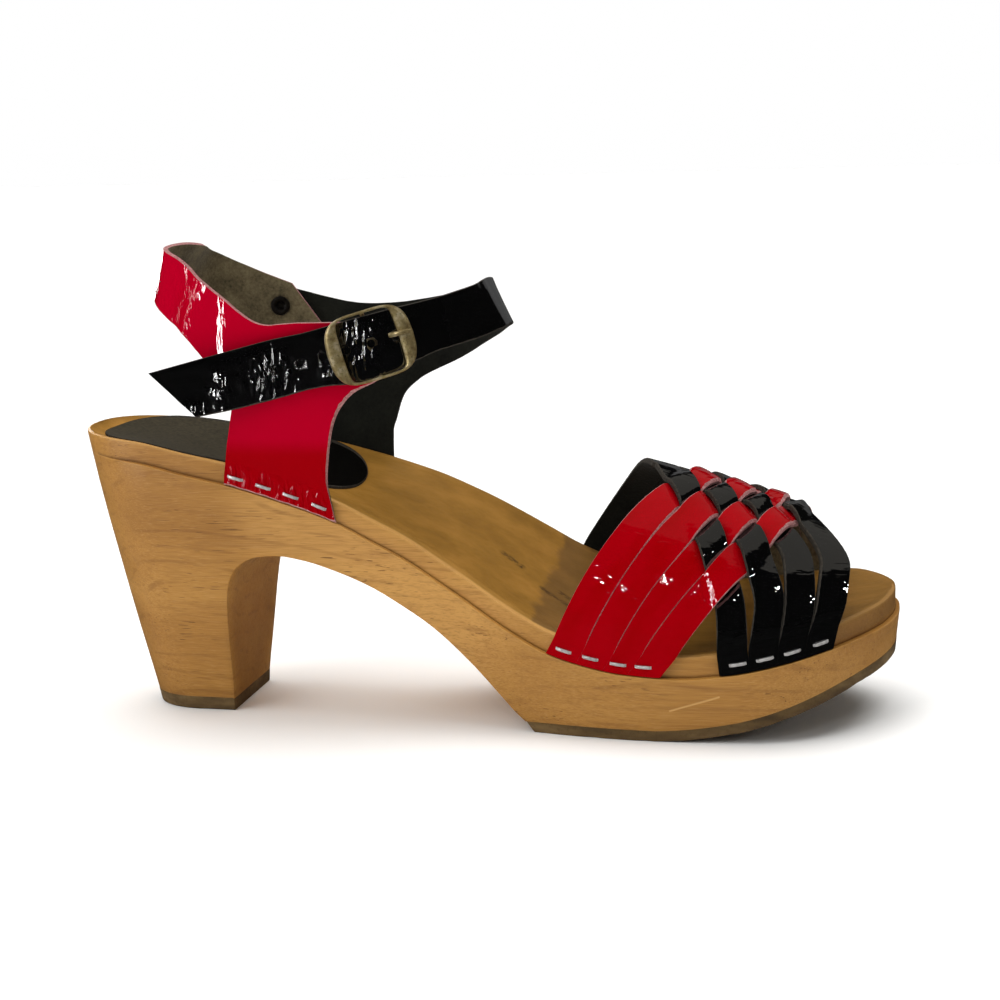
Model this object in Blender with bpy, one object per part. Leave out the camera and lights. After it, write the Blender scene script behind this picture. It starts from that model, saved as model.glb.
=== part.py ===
"""A right-foot open-toe clog: carved wooden sole, woven leather vamp, quarters and ankle strap.

Sizes are in millimetres. While the shoe is worked out, the back of the heel is at x = 0, the toe
points to +X, the outer side of the foot is at -Y and the floor is at z = 0. At the end the shoe is
moved so that the middle of the bottom of its box is the origin.
"""
import math

import bmesh
import bpy
import numpy as np
from mathutils import Vector
from mathutils.geometry import delaunay_2d_cdt

MM = 0.001

# Sole sizes
SOLE_LENGTH = 240.5
BREAST_X = 45.6
HEEL_ROUND = 30.0
HEEL_POWER = 2.2
TOE_START_OUTER = 195.0
TOE_START_INNER = 207.0
TOE_TIP_Y = 13.0
TOE_POWER = 2.1
BACK_SLOPE = 0.205
BACK_TOP = 85.0
SIDE_TAPER = 0.14
RABBET_HEIGHT = 6.0
RABBET_DEPTH = 2.0
HEEL_LIP = 1.2
RIM_LIP = 3.0
LIFT_TOP = 3.5
WOOD_FLOOR = 3.0
OUTSOLE_REAR = 136.0
GAP = 0.3

# Leather sizes
LEATHER = 2.0
STRIP_THICK = 1.5
STRIP_RAISE = 0.7
RED_STRIP = 9.0
BLACK_STRIP = 8.2
STEP_WIDTH = 0.3
SOCK_THICK = 1.2
SOCK_BACK = 6.5
SOCK_FRONT = 84.0

# Sole outline at the ledge: distance along, half width on the outer and on the inner side
OUTLINE = [
    (30, 31.5, 31.5), (45, 32.3, 31.5), (60, 32.0, 30.0), (80, 31.0, 28.0), (100, 30.5, 27.5),
    (120, 31.5, 29.5), (140, 34.5, 34.0), (160, 37.5, 38.5), (178, 38.8, 41.0), (195, 38.8, 42.0),
    (205, 38.8, 42.0),
]

# Height of the rim: distance along, outer side, inner side
RIM = [
    (0, 85.0, 85.0), (22, 82.9, 82.0), (37, 79.6, 80.0), (50, 76.9, 78.0), (66, 72.0, 75.6),
    (82, 65.9, 71.8), (92, 60.6, 68.9), (102, 55.3, 65.5), (112, 48.8, 60.9), (119, 44.2, 57.3),
    (127, 38.8, 52.6), (134, 34.6, 48.2), (144, 29.7, 42.0), (155, 26.8, 36.8), (165, 25.2, 33.2),
    (180, 24.6, 30.6), (193, 25.8, 30.4), (207, 28.5, 32.0), (222, 32.0, 34.4), (232, 33.8, 35.6),
    (240.5, 34.8, 35.4),
]

# Underside of the breast and arch: distance along, height
ARCH = [
    (45.6, 3.8), (46.4, 16.0), (47.2, 30.0), (48.2, 38.8), (50, 43.6), (53, 46.9), (57.5, 49.1),
    (64, 49.6), (72, 48.2), (80, 45.6), (92, 40.5), (100, 35.8), (109, 29.8), (120.3, 19.4),
    (128, 11.0), (138, 0.0),
]

# Underside of the forefoot with its toe spring: distance along, height
SPRING = [
    (100, 3.0), (172, 3.0), (180, 3.5), (194, 5.6), (206, 8.8), (218, 12.8), (227, 16.0), (233, 17.8),
    (240.5, 19.5),
]

# Heel taper: height, half width
HEEL_WIDTH = [(0, 16.9), (3.8, 17.5), (25, 23.3), (40, 26.6), (72, 31.5), (90, 31.5)]

# Hollow of the footbed: distance along, depth under the rim
HOLLOW = [(0, 1.2), (25, 3.0), (60, 2.2), (110, 1.6), (175, 2.6), (215, 2.0), (240.5, 0.8)]

# Sections at which the sole is cut
STATIONS = [
    0.1, 0.6, 1.8, 3.8, 6.8, 11, 16, 22, 30, 38, 45.6, 46.4, 47.2, 48.2, 50, 53, 57.5, 64, 72, 80, 88, 96,
    104, 112, 120, 128, 135.3, 142, 150, 160, 170, 178, 186, 195, 204, 212, 219, 225, 230, 234, 237, 239,
    240, 240.4,
]

# Height of the vamp's crown: distance along, height
CROWN = [(135, 79.0), (168, 70.8), (190, 64.2), (211, 57.8), (228, 51.0)]
CROWN_Y = 6.0
VAMP_POWER = 2.2
VAMP_LEAN = 0.10
VAMP_SEAT = 0.91
GIRTH_HALF = 66.0

# Centre lines of the vamp strips, a row per strip: distance along at the outer seat, low on the
# outer side, high on the outer side, at the crown, on the inner side and at the inner seat
PATH_AT = (-1.0, -0.75, -0.5, 0.0, 0.5, 1.0)
RED_PATHS = [
    (148.0, 155.5, 164.0, 180.5, 191.0, 197.0),
    (155.5, 164.5, 174.0, 191.0, 200.0, 204.5),
    (163.0, 173.5, 184.5, 201.5, 208.5, 212.0),
    (170.5, 182.8, 195.0, 211.8, 216.0, 219.0),
]
BLACK_PATHS = [
    (195.6, 193.3, 186.8, 169.5, 159.5, 146.5),
    (203.2, 203.7, 199.0, 179.5, 168.0, 155.5),
    (210.6, 211.8, 210.3, 191.0, 176.5, 163.5),
    (217.8, 220.2, 219.5, 204.0, 185.0, 171.5),
]
PATH_STEPS = 20

# Ankle form: the oval that the straps lie on
RING_X = 72.5
RING_BACK = 51.0
RING_FRONT = 53.6
RING_OUTER = 32.0
RING_INNER = 29.5
RING_POWER = 0.833
RING_LEVEL = 115.0
RING_LEAN = 0.58
QUARTER_BLEND_TOP = 96.0
TAIL_STRAIGHT_FROM = -5.0

# Red quarter and heel strap, a row per section from the buckle arm to the inner end:
# place of the low edge round the ankle, its height, place of the high edge, its height, distance out.
# A height of 0 means that the edge sits on the sole's ledge.
RED_QUARTER = [
    (-28.0, 104.0, -28.0, 117.5, 0.0), (-24.0, 100.6, -23.0, 117.2, 0.0), (-17.3, 97.2, -17.0, 117.0, 0.0),
    (-13.5, 93.2, -12.0, 117.0, 0.0), (-11.2, 88.8, -9.0, 117.0, 0.0), (-9.1, 79.8, -5.0, 117.0, 0.0),
    (-8.1, 70.6, -2.0, 117.0, 0.0), (-10.1, 0.0, 1.0, 116.8, 0.0), (-2.0, 0.0, 4.0, 116.6, 0.0),
    (6.0, 0.0, 6.0, 116.4, 0.0), (14.0, 0.0, 8.0, 116.6, 0.0), (22.0, 0.0, 10.0, 117.2, 0.0),
    (20.5, 82.2, 12.0, 118.2, 0.0), (17.8, 92.2, 15.0, 120.3, 0.0), (19.5, 98.5, 19.0, 123.6, 0.0),
    (23.5, 103.6, 23.0, 126.5, 0.0), (27.5, 107.8, 27.5, 130.0, 0.0), (35.0, 115.0, 34.5, 135.0, 0.0),
    (45.5, 120.0, 45.0, 137.2, 0.0), (56.5, 122.6, 56.5, 137.9, 0.0), (68.0, 123.2, 68.0, 138.0, 0.0),
    (79.0, 121.7, 79.0, 137.6, 0.0), (90.0, 118.5, 90.0, 135.8, -0.8), (100.5, 114.5, 100.5, 131.2, -2.3),
    (112.0, 110.0, 112.0, 126.5, -2.3), (128.0, 104.5, 126.0, 120.0, -2.3),
]

# Black quarter, front strap and strap end, a row per section from the inner rear arm to the cut end
BLACK_QUARTER = [
    (-170.5, 112.5, -170.5, 128.0, 0.0), (-166.5, 110.0, -163.5, 125.8, 0.0), (-161.0, 104.0, -159.5, 124.2, 0.0),
    (-158.5, 96.0, -157.0, 123.0, 0.0), (-160.0, 84.0, -154.5, 122.2, 0.0), (-162.0, 0.0, -152.0, 121.5, 0.0),
    (-153.5, 0.0, -148.5, 120.5, 0.0), (-144.5, 0.0, -144.5, 119.5, 0.0), (-135.0, 0.0, -140.5, 118.6, 0.0),
    (-125.8, 0.0, -136.0, 117.9, 0.0), (-125.8, 77.8, -131.5, 117.7, 0.0), (-124.7, 82.5, -127.5, 117.8, 0.0),
    (-122.5, 89.4, -122.5, 118.1, 0.0), (-117.3, 94.4, -116.5, 118.9, 0.0), (-103.3, 101.2, -102.8, 121.2, 0.0),
    (-92.0, 107.0, -91.3, 124.2, 0.0), (-81.0, 111.8, -81.0, 126.5, 0.0), (-70.4, 113.6, -70.4, 127.2, 0.0),
    (-59.3, 112.6, -59.3, 126.8, 0.5), (-49.0, 110.6, -49.0, 125.3, 1.6), (-40.5, 108.6, -40.5, 123.2, 3.0),
    (-34.5, 107.0, -34.0, 121.5, 3.5), (-28.5, 105.2, -27.8, 119.8, 4.2), (-23.2, 103.5, -22.2, 118.3, 4.6),
    (-18.2, 102.0, -16.8, 117.0, 4.2), (-12.5, 100.4, -10.5, 115.6, 3.4), (-6.5, 98.8, -4.0, 114.3, 2.8),
    (2.4, 96.5, 5.1, 112.6, 2.5), (15.4, 93.4, 20.5, 108.9, 2.5), (28.3, 90.9, 42.1, 103.5, 2.5),
]
BAND_STEPS = 6

# Buckle sizes
BUCKLE_AT = -22.7
BUCKLE_HEIGHT = 110.9
BUCKLE_SLOPE = 0.28
BUCKLE_OUT = 6.3
BUCKLE_LONG = 24.6
BUCKLE_WIDE = 19.6
BUCKLE_THICK = 2.0
BUCKLE_SIDE_BAR = 4.2
BUCKLE_RAIL = 1.9
BAR_LONG = 2.0
BAR_THICK = 1.6
BAR_DROP = 3.6
PRONG_ACROSS = 1.0
PRONG_WIDE = 2.0
PRONG_THICK = 1.3

# Rivet sizes
RIVET_AT = 115.0
RIVET_HEIGHT = 117.6
RIVET_HEAD = 3.0
RIVET_SHANK = 1.4
RIVET_CAP = 0.8


def curve(table, column):
    """A smooth curve through one column of a table that never overshoots its rows."""
    knots = [float(row[0]) for row in table]
    values = [float(row[column]) for row in table]
    steps = [b - a for a, b in zip(knots, knots[1:])]
    rises = [(b - a) / s for a, b, s in zip(values, values[1:], steps)]
    slopes = [rises[0]] + [0.0] * (len(rises) - 1) + [rises[-1]]
    for k in range(1, len(rises)):
        before, after = rises[k - 1], rises[k]
        if before * after > 0:
            left = 2 * steps[k] + steps[k - 1]
            right = steps[k] + 2 * steps[k - 1]
            slopes[k] = (left + right) / (left / before + right / after)

    def value(x):
        x = min(max(x, knots[0]), knots[-1])
        k = 0
        while k < len(steps) - 1 and x > knots[k + 1]:
            k += 1
        t = (x - knots[k]) / steps[k]
        start = (1 + 2 * t) * (1 - t) ** 2 * values[k] + t * (1 - t) ** 2 * steps[k] * slopes[k]
        end = t * t * (3 - 2 * t) * values[k + 1] - t * t * (1 - t) * steps[k] * slopes[k + 1]
        return start + end

    return value


def ease(start, end, x):
    """Rise softly from 0 at start to 1 at end."""
    t = min(max((x - start) / (end - start), 0.0), 1.0)
    return t * t * (3 - 2 * t)


outer_outline = curve(OUTLINE, 1)
inner_outline = curve(OUTLINE, 2)
outer_rim = curve(RIM, 1)
inner_rim = curve(RIM, 2)
arch_height = curve(ARCH, 1)
spring_height = curve(SPRING, 1)
heel_width = curve(HEEL_WIDTH, 1)
hollow_depth = curve(HOLLOW, 1)
crown_height = curve(CROWN, 1)


# Sole surfaces

def round_end(x, start, end, power):
    """Fall from 1 at start to 0 at end like a rounded corner."""
    t = min(max((x - start) / (end - start), 0.0), 1.0)
    return (1 - t ** power) ** (1 / power)


def sole_edges(x):
    """Outer and inner y of the sole's outline at the ledge."""
    if x < HEEL_ROUND:
        half = outer_outline(HEEL_ROUND) * round_end(HEEL_ROUND - x, 0, HEEL_ROUND, HEEL_POWER)
        return -half, half
    outer = -outer_outline(x)
    inner = inner_outline(x)
    if x > TOE_START_OUTER:
        outer = TOE_TIP_Y + (outer - TOE_TIP_Y) * round_end(x, TOE_START_OUTER, SOLE_LENGTH, TOE_POWER)
    if x > TOE_START_INNER:
        inner = TOE_TIP_Y + (inner - TOE_TIP_Y) * round_end(x, TOE_START_INNER, SOLE_LENGTH, TOE_POWER)
    return outer, inner


def underside(x):
    """Height of the wood's underside."""
    if x <= BREAST_X:
        return LIFT_TOP + GAP
    return max(arch_height(x), spring_height(x))


def rabbet_depth(x):
    """Depth of the step that takes the leather; it runs out at the back of the heel."""
    return RABBET_DEPTH * ease(10, 26, x) * (1 - 0.3 * ease(215, 240, x))


def drawn_in(x, y, amount):
    """Move an edge of the outline in towards the middle of the sole."""
    outer, inner = sole_edges(x)
    middle = (outer + inner) / 2
    half = (inner - outer) / 2
    return middle + (y - middle) * (1 - amount / max(half, 12.0))


def rim_height(x, y):
    """Height of the rim, sloping evenly from the outer side to the inner side."""
    outer, inner = sole_edges(x)
    share = (y - outer) / max(inner - outer, 0.01)
    return outer_rim(x) + (inner_rim(x) - outer_rim(x)) * min(max(share, 0.0), 1.0)


def wall_edges(x):
    """Outer and inner y of the upright wall of the rabbet."""
    depth = rabbet_depth(x)
    return tuple(drawn_in(x, y, depth) for y in sole_edges(x))


def lip_width(x):
    """Width of the flat lip of the rim, narrow round the heel."""
    outer, inner = wall_edges(x)
    lip = HEEL_LIP + (RIM_LIP - HEEL_LIP) * ease(60, 100, x)
    return min(lip, 0.3 * (inner - outer))


def footbed_height(x, y):
    """Height of the hollowed footbed inside the rim's lip."""
    outer, inner = wall_edges(x)
    lip = lip_width(x)
    share = (y - outer - lip) / max(inner - outer - 2 * lip, 0.01)
    share = min(max(share, 0.0), 1.0)
    depth = hollow_depth(x) * ease(0, 45, inner - outer)
    return rim_height(x, y) - depth * (1 - (2 * share - 1) ** 2)


def back_shift(x, z):
    """How far the sloping back of the heel has come forward at a height."""
    return max(0.0, BACK_TOP - z) * BACK_SLOPE * max(0.0, 1 - x / BREAST_X)


def side_point(x, z, side):
    """A point of the sole's side under the ledge; side 0 is the outer one, 1 the inner one."""
    y = sole_edges(x)[side]
    ledge = rim_height(x, y) - RABBET_HEIGHT
    depth = max(ledge - z, 0.0)
    heel_y = y * heel_width(z) / heel_width(90)
    fore_y = drawn_in(x, y, SIDE_TAPER * depth)
    share = ease(58, 108, x)
    y = heel_y + (fore_y - heel_y) * share
    pull = 0.09 * depth * ease(205, SOLE_LENGTH, x)
    return (x + back_shift(x, z) - pull, y, z)


def rim_shift(x):
    """How far the rim stands back from the platform at the toe."""
    return 1.3 * ease(205, SOLE_LENGTH, x)


def sole_section(x):
    """The closed outline of one cross-section of the wood, starting under the outer side."""
    low = underside(x)
    points = []
    sides = []
    for side in (0, 1):
        y = sole_edges(x)[side]
        rim = rim_height(x, y)
        ledge = rim - RABBET_HEIGHT
        low_side = min(low, ledge - 1.0)
        levels = [low_side + (ledge - low_side) * k / 3 for k in range(4)]
        column = [side_point(x, z, side) for z in levels]
        wall = wall_edges(x)[side]
        shift = rim_shift(x)
        column.append((x - shift + back_shift(x, ledge), wall, ledge))
        column.append((x - shift + back_shift(x, rim), wall, rim))
        sides.append(column)
    outer, inner = wall_edges(x)
    lip = lip_width(x)
    points += sides[0]
    for k in range(7):
        y = outer + lip + (inner - outer - 2 * lip) * k / 6
        points.append((x - rim_shift(x), y, footbed_height(x, y)))
    points += sides[1][::-1]
    start, end = sides[1][0], sides[0][0]
    for k in range(1, 4):
        points.append(tuple(a + (b - a) * k / 4 for a, b in zip(start, end)))
    return points


# Mesh making

def finish_mesh(name, points, faces, color, roughness, metallic=0.0, smooth=True):
    """Make one closed solid with its own material from points in millimetres."""
    mesh = bpy.data.meshes.new(name)
    mesh.from_pydata([tuple(c * MM for c in p) for p in points], [], faces)
    work = bmesh.new()
    work.from_mesh(mesh)
    bmesh.ops.triangulate(work, faces=[f for f in work.faces if len(f.verts) > 4])
    bmesh.ops.recalc_face_normals(work, faces=work.faces)
    work.to_mesh(mesh)
    work.free()
    if smooth:
        mesh.polygons.foreach_set("use_smooth", [True] * len(mesh.polygons))
        mesh.set_sharp_from_angle(angle=math.radians(35))
    piece = bpy.data.objects.new(name, mesh)
    bpy.context.scene.collection.objects.link(piece)
    material = bpy.data.materials.new(name)
    material.use_nodes = True
    shader = material.node_tree.nodes["Principled BSDF"]
    shader.inputs["Base Color"].default_value = (*color, 1.0)
    shader.inputs["Roughness"].default_value = roughness
    shader.inputs["Metallic"].default_value = metallic
    mesh.materials.append(material)
    return piece


def loft_faces(rows, size, caps):
    """Side faces between closed sections of the same size, and the faces that close both ends."""
    faces = []
    for i in range(rows - 1):
        for j in range(size):
            k = (j + 1) % size
            faces.append((i * size + j, i * size + k, (i + 1) * size + k, (i + 1) * size + j))
    for first in (0, (rows - 1) * size):
        faces += [tuple(first + j for j in cap) for cap in caps]
    return faces


def loft(name, sections, color, roughness, metallic=0.0, caps=None):
    """A solid through closed sections."""
    points = [p for section in sections for p in section]
    size = len(sections[0])
    faces = loft_faces(len(sections), size, caps or [range(size)])
    return finish_mesh(name, points, faces, color, roughness, metallic)


# Wooden sole, rubber and heel sock

def make_wood_sole():
    """Carved wood; each end is closed by a platform face, a ledge and a rim face."""
    platform = [0, 1, 2, 3] + list(range(15, 22))
    ledge = [3, 4, 14, 15]
    rim = list(range(4, 15))
    sections = [sole_section(x) for x in STATIONS]
    return loft("wood_sole", sections, (0.45, 0.23, 0.07), 0.45, caps=[platform, ledge, rim])


def make_outsole():
    """Rubber sheet under the forefoot, following the toe spring."""
    sections = []
    places = [OUTSOLE_REAR] + [x for x in STATIONS if x > OUTSOLE_REAR + 2]
    for x in places:
        top = spring_height(x) - GAP
        low = spring_height(x) - WOOD_FLOOR
        slant = 2.2 if x == OUTSOLE_REAR else 0.0
        upper = [side_point(x, top, side) for side in (0, 1)]
        lower = [side_point(x, low, side) for side in (0, 1)]
        outer = [(p[0] + s, drawn_in(x, p[1], GAP), p[2]) for p, s in ((lower[0], slant), (upper[0], 0.0))]
        inner = [(p[0] + s, drawn_in(x, p[1], GAP), p[2]) for p, s in ((upper[1], 0.0), (lower[1], slant))]
        sections.append(outer + inner)
    return loft("forefoot_outsole", sections, (0.10, 0.07, 0.03), 0.8)


def make_heel_lift():
    """Rubber plate with the heel's own outline."""
    places = [x for x in STATIONS if x <= BREAST_X]
    sections = []
    for z in (0.0, LIFT_TOP):
        outer = [side_point(x, z, 0) for x in places]
        inner = [side_point(x, z, 1) for x in places]
        sections.append(outer + inner[::-1])
    return loft("heel_lift", sections, (0.08, 0.05, 0.025), 0.8)


def sock_half(x):
    """Half width of the heel sock, round at both ends."""
    back = round_end(HEEL_ROUND - x, 0, HEEL_ROUND - SOCK_BACK, HEEL_POWER)
    front = round_end(x, 58, SOCK_FRONT, HEEL_POWER)
    return (27.6 - 1.6 * ease(40, 70, x)) * back * front


def make_heel_sock():
    places = [SOCK_BACK + t for t in (0.1, 0.8, 2.4, 5, 9, 15, 23)]
    places += [38, 46, 54, 62, 69, 75, 79, 82, 83.3, 83.9]
    sections = []
    for x in places:
        half = sock_half(x)
        across = [0.4 + half * (k / 3 - 1) for k in range(7)]
        low = [(x, y, footbed_height(x, y) + GAP + 0.1) for y in across]
        high = [(p[0], p[1], p[2] + SOCK_THICK) for p in low]
        sections.append(low + high[::-1])
    return loft("heel_sock", sections, (0.012, 0.012, 0.012), 0.6)


# Woven vamp

def vamp_seat(x, side):
    """Middle of the leather where the vamp stands on the ledge."""
    wall = wall_edges(x)[side]
    away = -1 if side == 0 else 1
    edge = sole_edges(x)[side]
    return wall + away * (GAP + STRIP_THICK / 2), rim_height(x, edge) - RABBET_HEIGHT + GAP


def vamp_form(x, q):
    """The instep form; q runs from -1 at the outer seat over 0 at the crown to 1 at the inner seat."""
    y, z = vamp_seat(x, 0 if q < 0 else 1)
    wall_top = z + RABBET_HEIGHT
    if abs(q) > VAMP_SEAT:
        return np.array([x, y, wall_top - RABBET_HEIGHT * (abs(q) - VAMP_SEAT) / (1 - VAMP_SEAT)])
    turn = abs(q) / VAMP_SEAT * math.pi / 2
    across = math.sin(turn) ** (2 / VAMP_POWER)
    up = max(math.cos(turn), 0.0) ** (2 / VAMP_POWER)
    rise = (crown_height(x) - wall_top) * up
    return np.array([x + VAMP_LEAN * rise, CROWN_Y + (y - CROWN_Y) * across, wall_top + rise])


def vamp_point(x, q, out):
    """A point at a distance outside the instep form."""
    step = 0.004
    low = max(q - step, -1.0)
    high = min(q + step, 1.0)
    along = vamp_form(x + 0.5, q) - vamp_form(x - 0.5, q)
    across = vamp_form(x, high) - vamp_form(x, low)
    normal = np.cross(along, across)
    return vamp_form(x, q) + out * normal / np.linalg.norm(normal)


class Strip:
    """One strip of the weave: its path over the foot, its edges and its ups and downs."""

    def __init__(self, row, width):
        self.width = width
        self.path = curve(list(zip(PATH_AT, row)), 1)
        self.places = [2 * k / PATH_STEPS - 1 for k in range(PATH_STEPS + 1)]
        self.rise = None

    def half(self, q):
        slope = (self.path(q + 0.01) - self.path(q - 0.01)) / (0.02 * GIRTH_HALF)
        return self.width / 2 * math.sqrt(1 + slope * slope)

    def edge(self, side, extra):
        return [(self.path(q) + side * (self.half(q) + extra), q) for q in self.places]

    def holds(self, x, q):
        centre = np.interp(q, self.places, [self.path(p) for p in self.places])
        half = np.interp(q, self.places, [self.half(p) for p in self.places])
        return abs(x - centre) <= half + 0.02


def crossing(red, black):
    """Where the paths of two strips cross."""
    low, high = -1.0, 1.0
    for _ in range(40):
        middle = (low + high) / 2
        if red.path(middle) < black.path(middle):
            low = middle
        else:
            high = middle
    return (low + high) / 2


def weave():
    """The eight strips with their rises: red goes over where the strip numbers add up to an odd number."""
    reds = [Strip(row, RED_STRIP) for row in RED_PATHS]
    blacks = [Strip(row, BLACK_STRIP) for row in BLACK_PATHS]
    for group, others, sign in ((reds, blacks, 1), (blacks, reds, -1)):
        for i, strip in enumerate(group):
            rows = [(-1.0, 0.0), (-VAMP_SEAT, 0.0), (VAMP_SEAT, 0.0), (1.0, 0.0)]
            for j, other in enumerate(others):
                q = crossing(strip, other) if sign > 0 else crossing(other, strip)
                over = sign if (i + j) % 2 else -sign
                rows.append((q, STRIP_RAISE * over))
            strip.rise = curve(sorted(rows), 1)
    return reds + blacks


def make_vamp():
    """One wall with the strips raised over each other and the gaps between them cut out."""
    strips = weave()
    points, edges = [], []
    for strip in strips:
        for side in (-1, 1):
            for extra in (0.0, STEP_WIDTH):
                line = strip.edge(side, extra)
                first = len(points)
                points += [Vector((x, q * GIRTH_HALF)) for x, q in line]
                edges += [(first + k, first + k + 1) for k in range(len(line) - 1)]
    flat, _, triangles, _, _, _ = delaunay_2d_cdt(points, edges, [], 0, 0.001)
    places = [(p.x, min(max(p.y / GIRTH_HALF, -1.0), 1.0)) for p in flat]
    kept = []
    for triangle in triangles:
        x = sum(places[k][0] for k in triangle) / 3
        q = sum(places[k][1] for k in triangle) / 3
        if any(strip.holds(x, q) for strip in strips):
            kept.append(tuple(triangle))
    used = sorted({k for triangle in kept for k in triangle})
    number = {k: n for n, k in enumerate(used)}
    tops, lows = [], []
    for k in used:
        x, q = places[k]
        rises = [strip.rise(q) for strip in strips if strip.holds(x, q)]
        tops.append(vamp_point(x, q, max(rises) + STRIP_THICK / 2))
        lows.append(vamp_point(x, q, min(rises) - STRIP_THICK / 2))
    count = len(used)
    faces, borders = [], {}
    for triangle in kept:
        a, b, c = (number[k] for k in triangle)
        faces.append((a, b, c))
        faces.append((c + count, b + count, a + count))
        for edge in ((a, b), (b, c), (c, a)):
            borders[edge] = True
    for a, b in list(borders):
        if (b, a) not in borders:
            faces.append((b, a, a + count, b + count))
    return finish_mesh("vamp", tops + lows, faces, (0.25, 0.005, 0.01), 0.2)


# Ankle form, quarters and straps

def ring_plan(turn, z):
    """A point of the ankle oval; turn 0 is the outer side, a quarter turn the back, minus that the front."""
    s, c = math.sin(turn), math.cos(turn)
    long = RING_BACK if s > 0 else RING_FRONT
    reach = long * abs(s) ** RING_POWER - RING_LEAN * (z - RING_LEVEL) * abs(s) ** 6
    x = RING_X - math.copysign(reach, s)
    half = RING_OUTER if c > 0 else RING_INNER
    return np.array([x, -math.copysign(half * abs(c) ** RING_POWER, c)])


RING_TURNS = [math.radians(a) for a in range(-270, 271, 2)]
RING_PLAN = [ring_plan(t, RING_LEVEL) for t in RING_TURNS]
RING_STEPS = [float(np.linalg.norm(b - a)) for a, b in zip(RING_PLAN, RING_PLAN[1:])]
RING_LENGTHS = np.concatenate(([0.0], np.cumsum(RING_STEPS)))
RING_LENGTHS -= RING_LENGTHS[RING_TURNS.index(0.0)]


def ring_form(place, z):
    """A point of the ankle form at a distance round the oval and a height."""
    turn = float(np.interp(place, RING_LENGTHS, RING_TURNS))
    x, y = ring_plan(turn, z)
    side = 0 if math.cos(turn) > 0 else 1
    if z < QUARTER_BLEND_TOP and 20 < x < 120:
        away = -1 if side == 0 else 1
        seat = wall_edges(x)[side] + away * GAP
        share = ease(rim_height(x, seat), QUARTER_BLEND_TOP, z)
        y = seat + (y - seat) * share
    return np.array([x, y, z])


def strap_form(place, z):
    """The ankle form with the strap end running on straight behind the buckle."""
    if place <= TAIL_STRAIGHT_FROM:
        return ring_form(place, z)
    start = ring_form(TAIL_STRAIGHT_FROM, RING_LEVEL)
    before = ring_form(TAIL_STRAIGHT_FROM - 1, RING_LEVEL)
    point = start + (place - TAIL_STRAIGHT_FROM) * (start - before)
    return np.array([point[0], point[1], z])


def form_point(form, place, z, out):
    """A point at a distance outside a form."""
    along = form(place + 0.5, z) - form(place - 0.5, z)
    upward = form(place, z + 0.5) - form(place, z - 0.5)
    normal = np.cross(upward, along)
    return form(place, z) + out * normal / np.linalg.norm(normal)


def ledge_height(form, place):
    """Height of the sole's ledge under a place round the ankle."""
    x, y, _ = form(place, 80.0)
    return rim_height(x, y) - RABBET_HEIGHT + GAP


def make_band(name, table, form, color):
    """A leather piece laid on a form, a row of the table per section."""
    columns = [curve([(k, row[c]) for k, row in enumerate(table)], 1) for c in range(5)]
    sections = []
    for k in range(2 * len(table) - 1):
        low_at, low_z, high_at, high_z, out = (column(k / 2) for column in columns)
        row = table[k // 2]
        following = table[(k + 1) // 2]
        if row[1] == 0 or following[1] == 0:
            seated = ledge_height(form, low_at)
            low_z = seated if row[1] == following[1] else None
        if low_z is None:
            continue
        inner, outer = [], []
        for j in range(BAND_STEPS + 1):
            share = j / BAND_STEPS
            place = low_at + (high_at - low_at) * share
            z = low_z + (high_z - low_z) * share
            inner.append(form_point(form, place, z, out))
            outer.append(form_point(form, place, z, out + LEATHER))
        sections.append(inner + outer[::-1])
    return loft(name, sections, color, 0.2)


# Buckle and rivet

def buckle_frame_axes():
    """Centre of the buckle's back face, and its directions along, across and out."""
    centre = form_point(strap_form, BUCKLE_AT, BUCKLE_HEIGHT, BUCKLE_OUT)
    forward = form_point(strap_form, BUCKLE_AT - 5, BUCKLE_HEIGHT, BUCKLE_OUT)
    back = form_point(strap_form, BUCKLE_AT + 5, BUCKLE_HEIGHT, BUCKLE_OUT)
    along = forward - back
    along /= np.linalg.norm(along)
    along = along + np.array([0.0, 0.0, BUCKLE_SLOPE])
    along /= np.linalg.norm(along)
    out = np.cross(along, np.array([0.0, 0.0, 1.0]))
    out /= np.linalg.norm(out)
    across = np.cross(out, along)
    return centre, along, across, out


def buckle_point(axes, u, v, n):
    """A point given along, across and out from the buckle's back face."""
    centre, along, across, out = axes
    return centre + along * u + across * v + out * n


def buckle_ring(half_long, half_wide, bow):
    """A rounded rectangle with bowed short sides."""
    ring = []
    for k in range(40):
        turn = 2 * math.pi * k / 40
        c, s = math.cos(turn), math.sin(turn)
        u = half_long * math.copysign(abs(c) ** 0.42, c)
        v = half_wide * math.copysign(abs(s) ** 0.5, s)
        ring.append((u + math.copysign(bow, u) * (1 - (v / half_wide) ** 2), v))
    return ring


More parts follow.
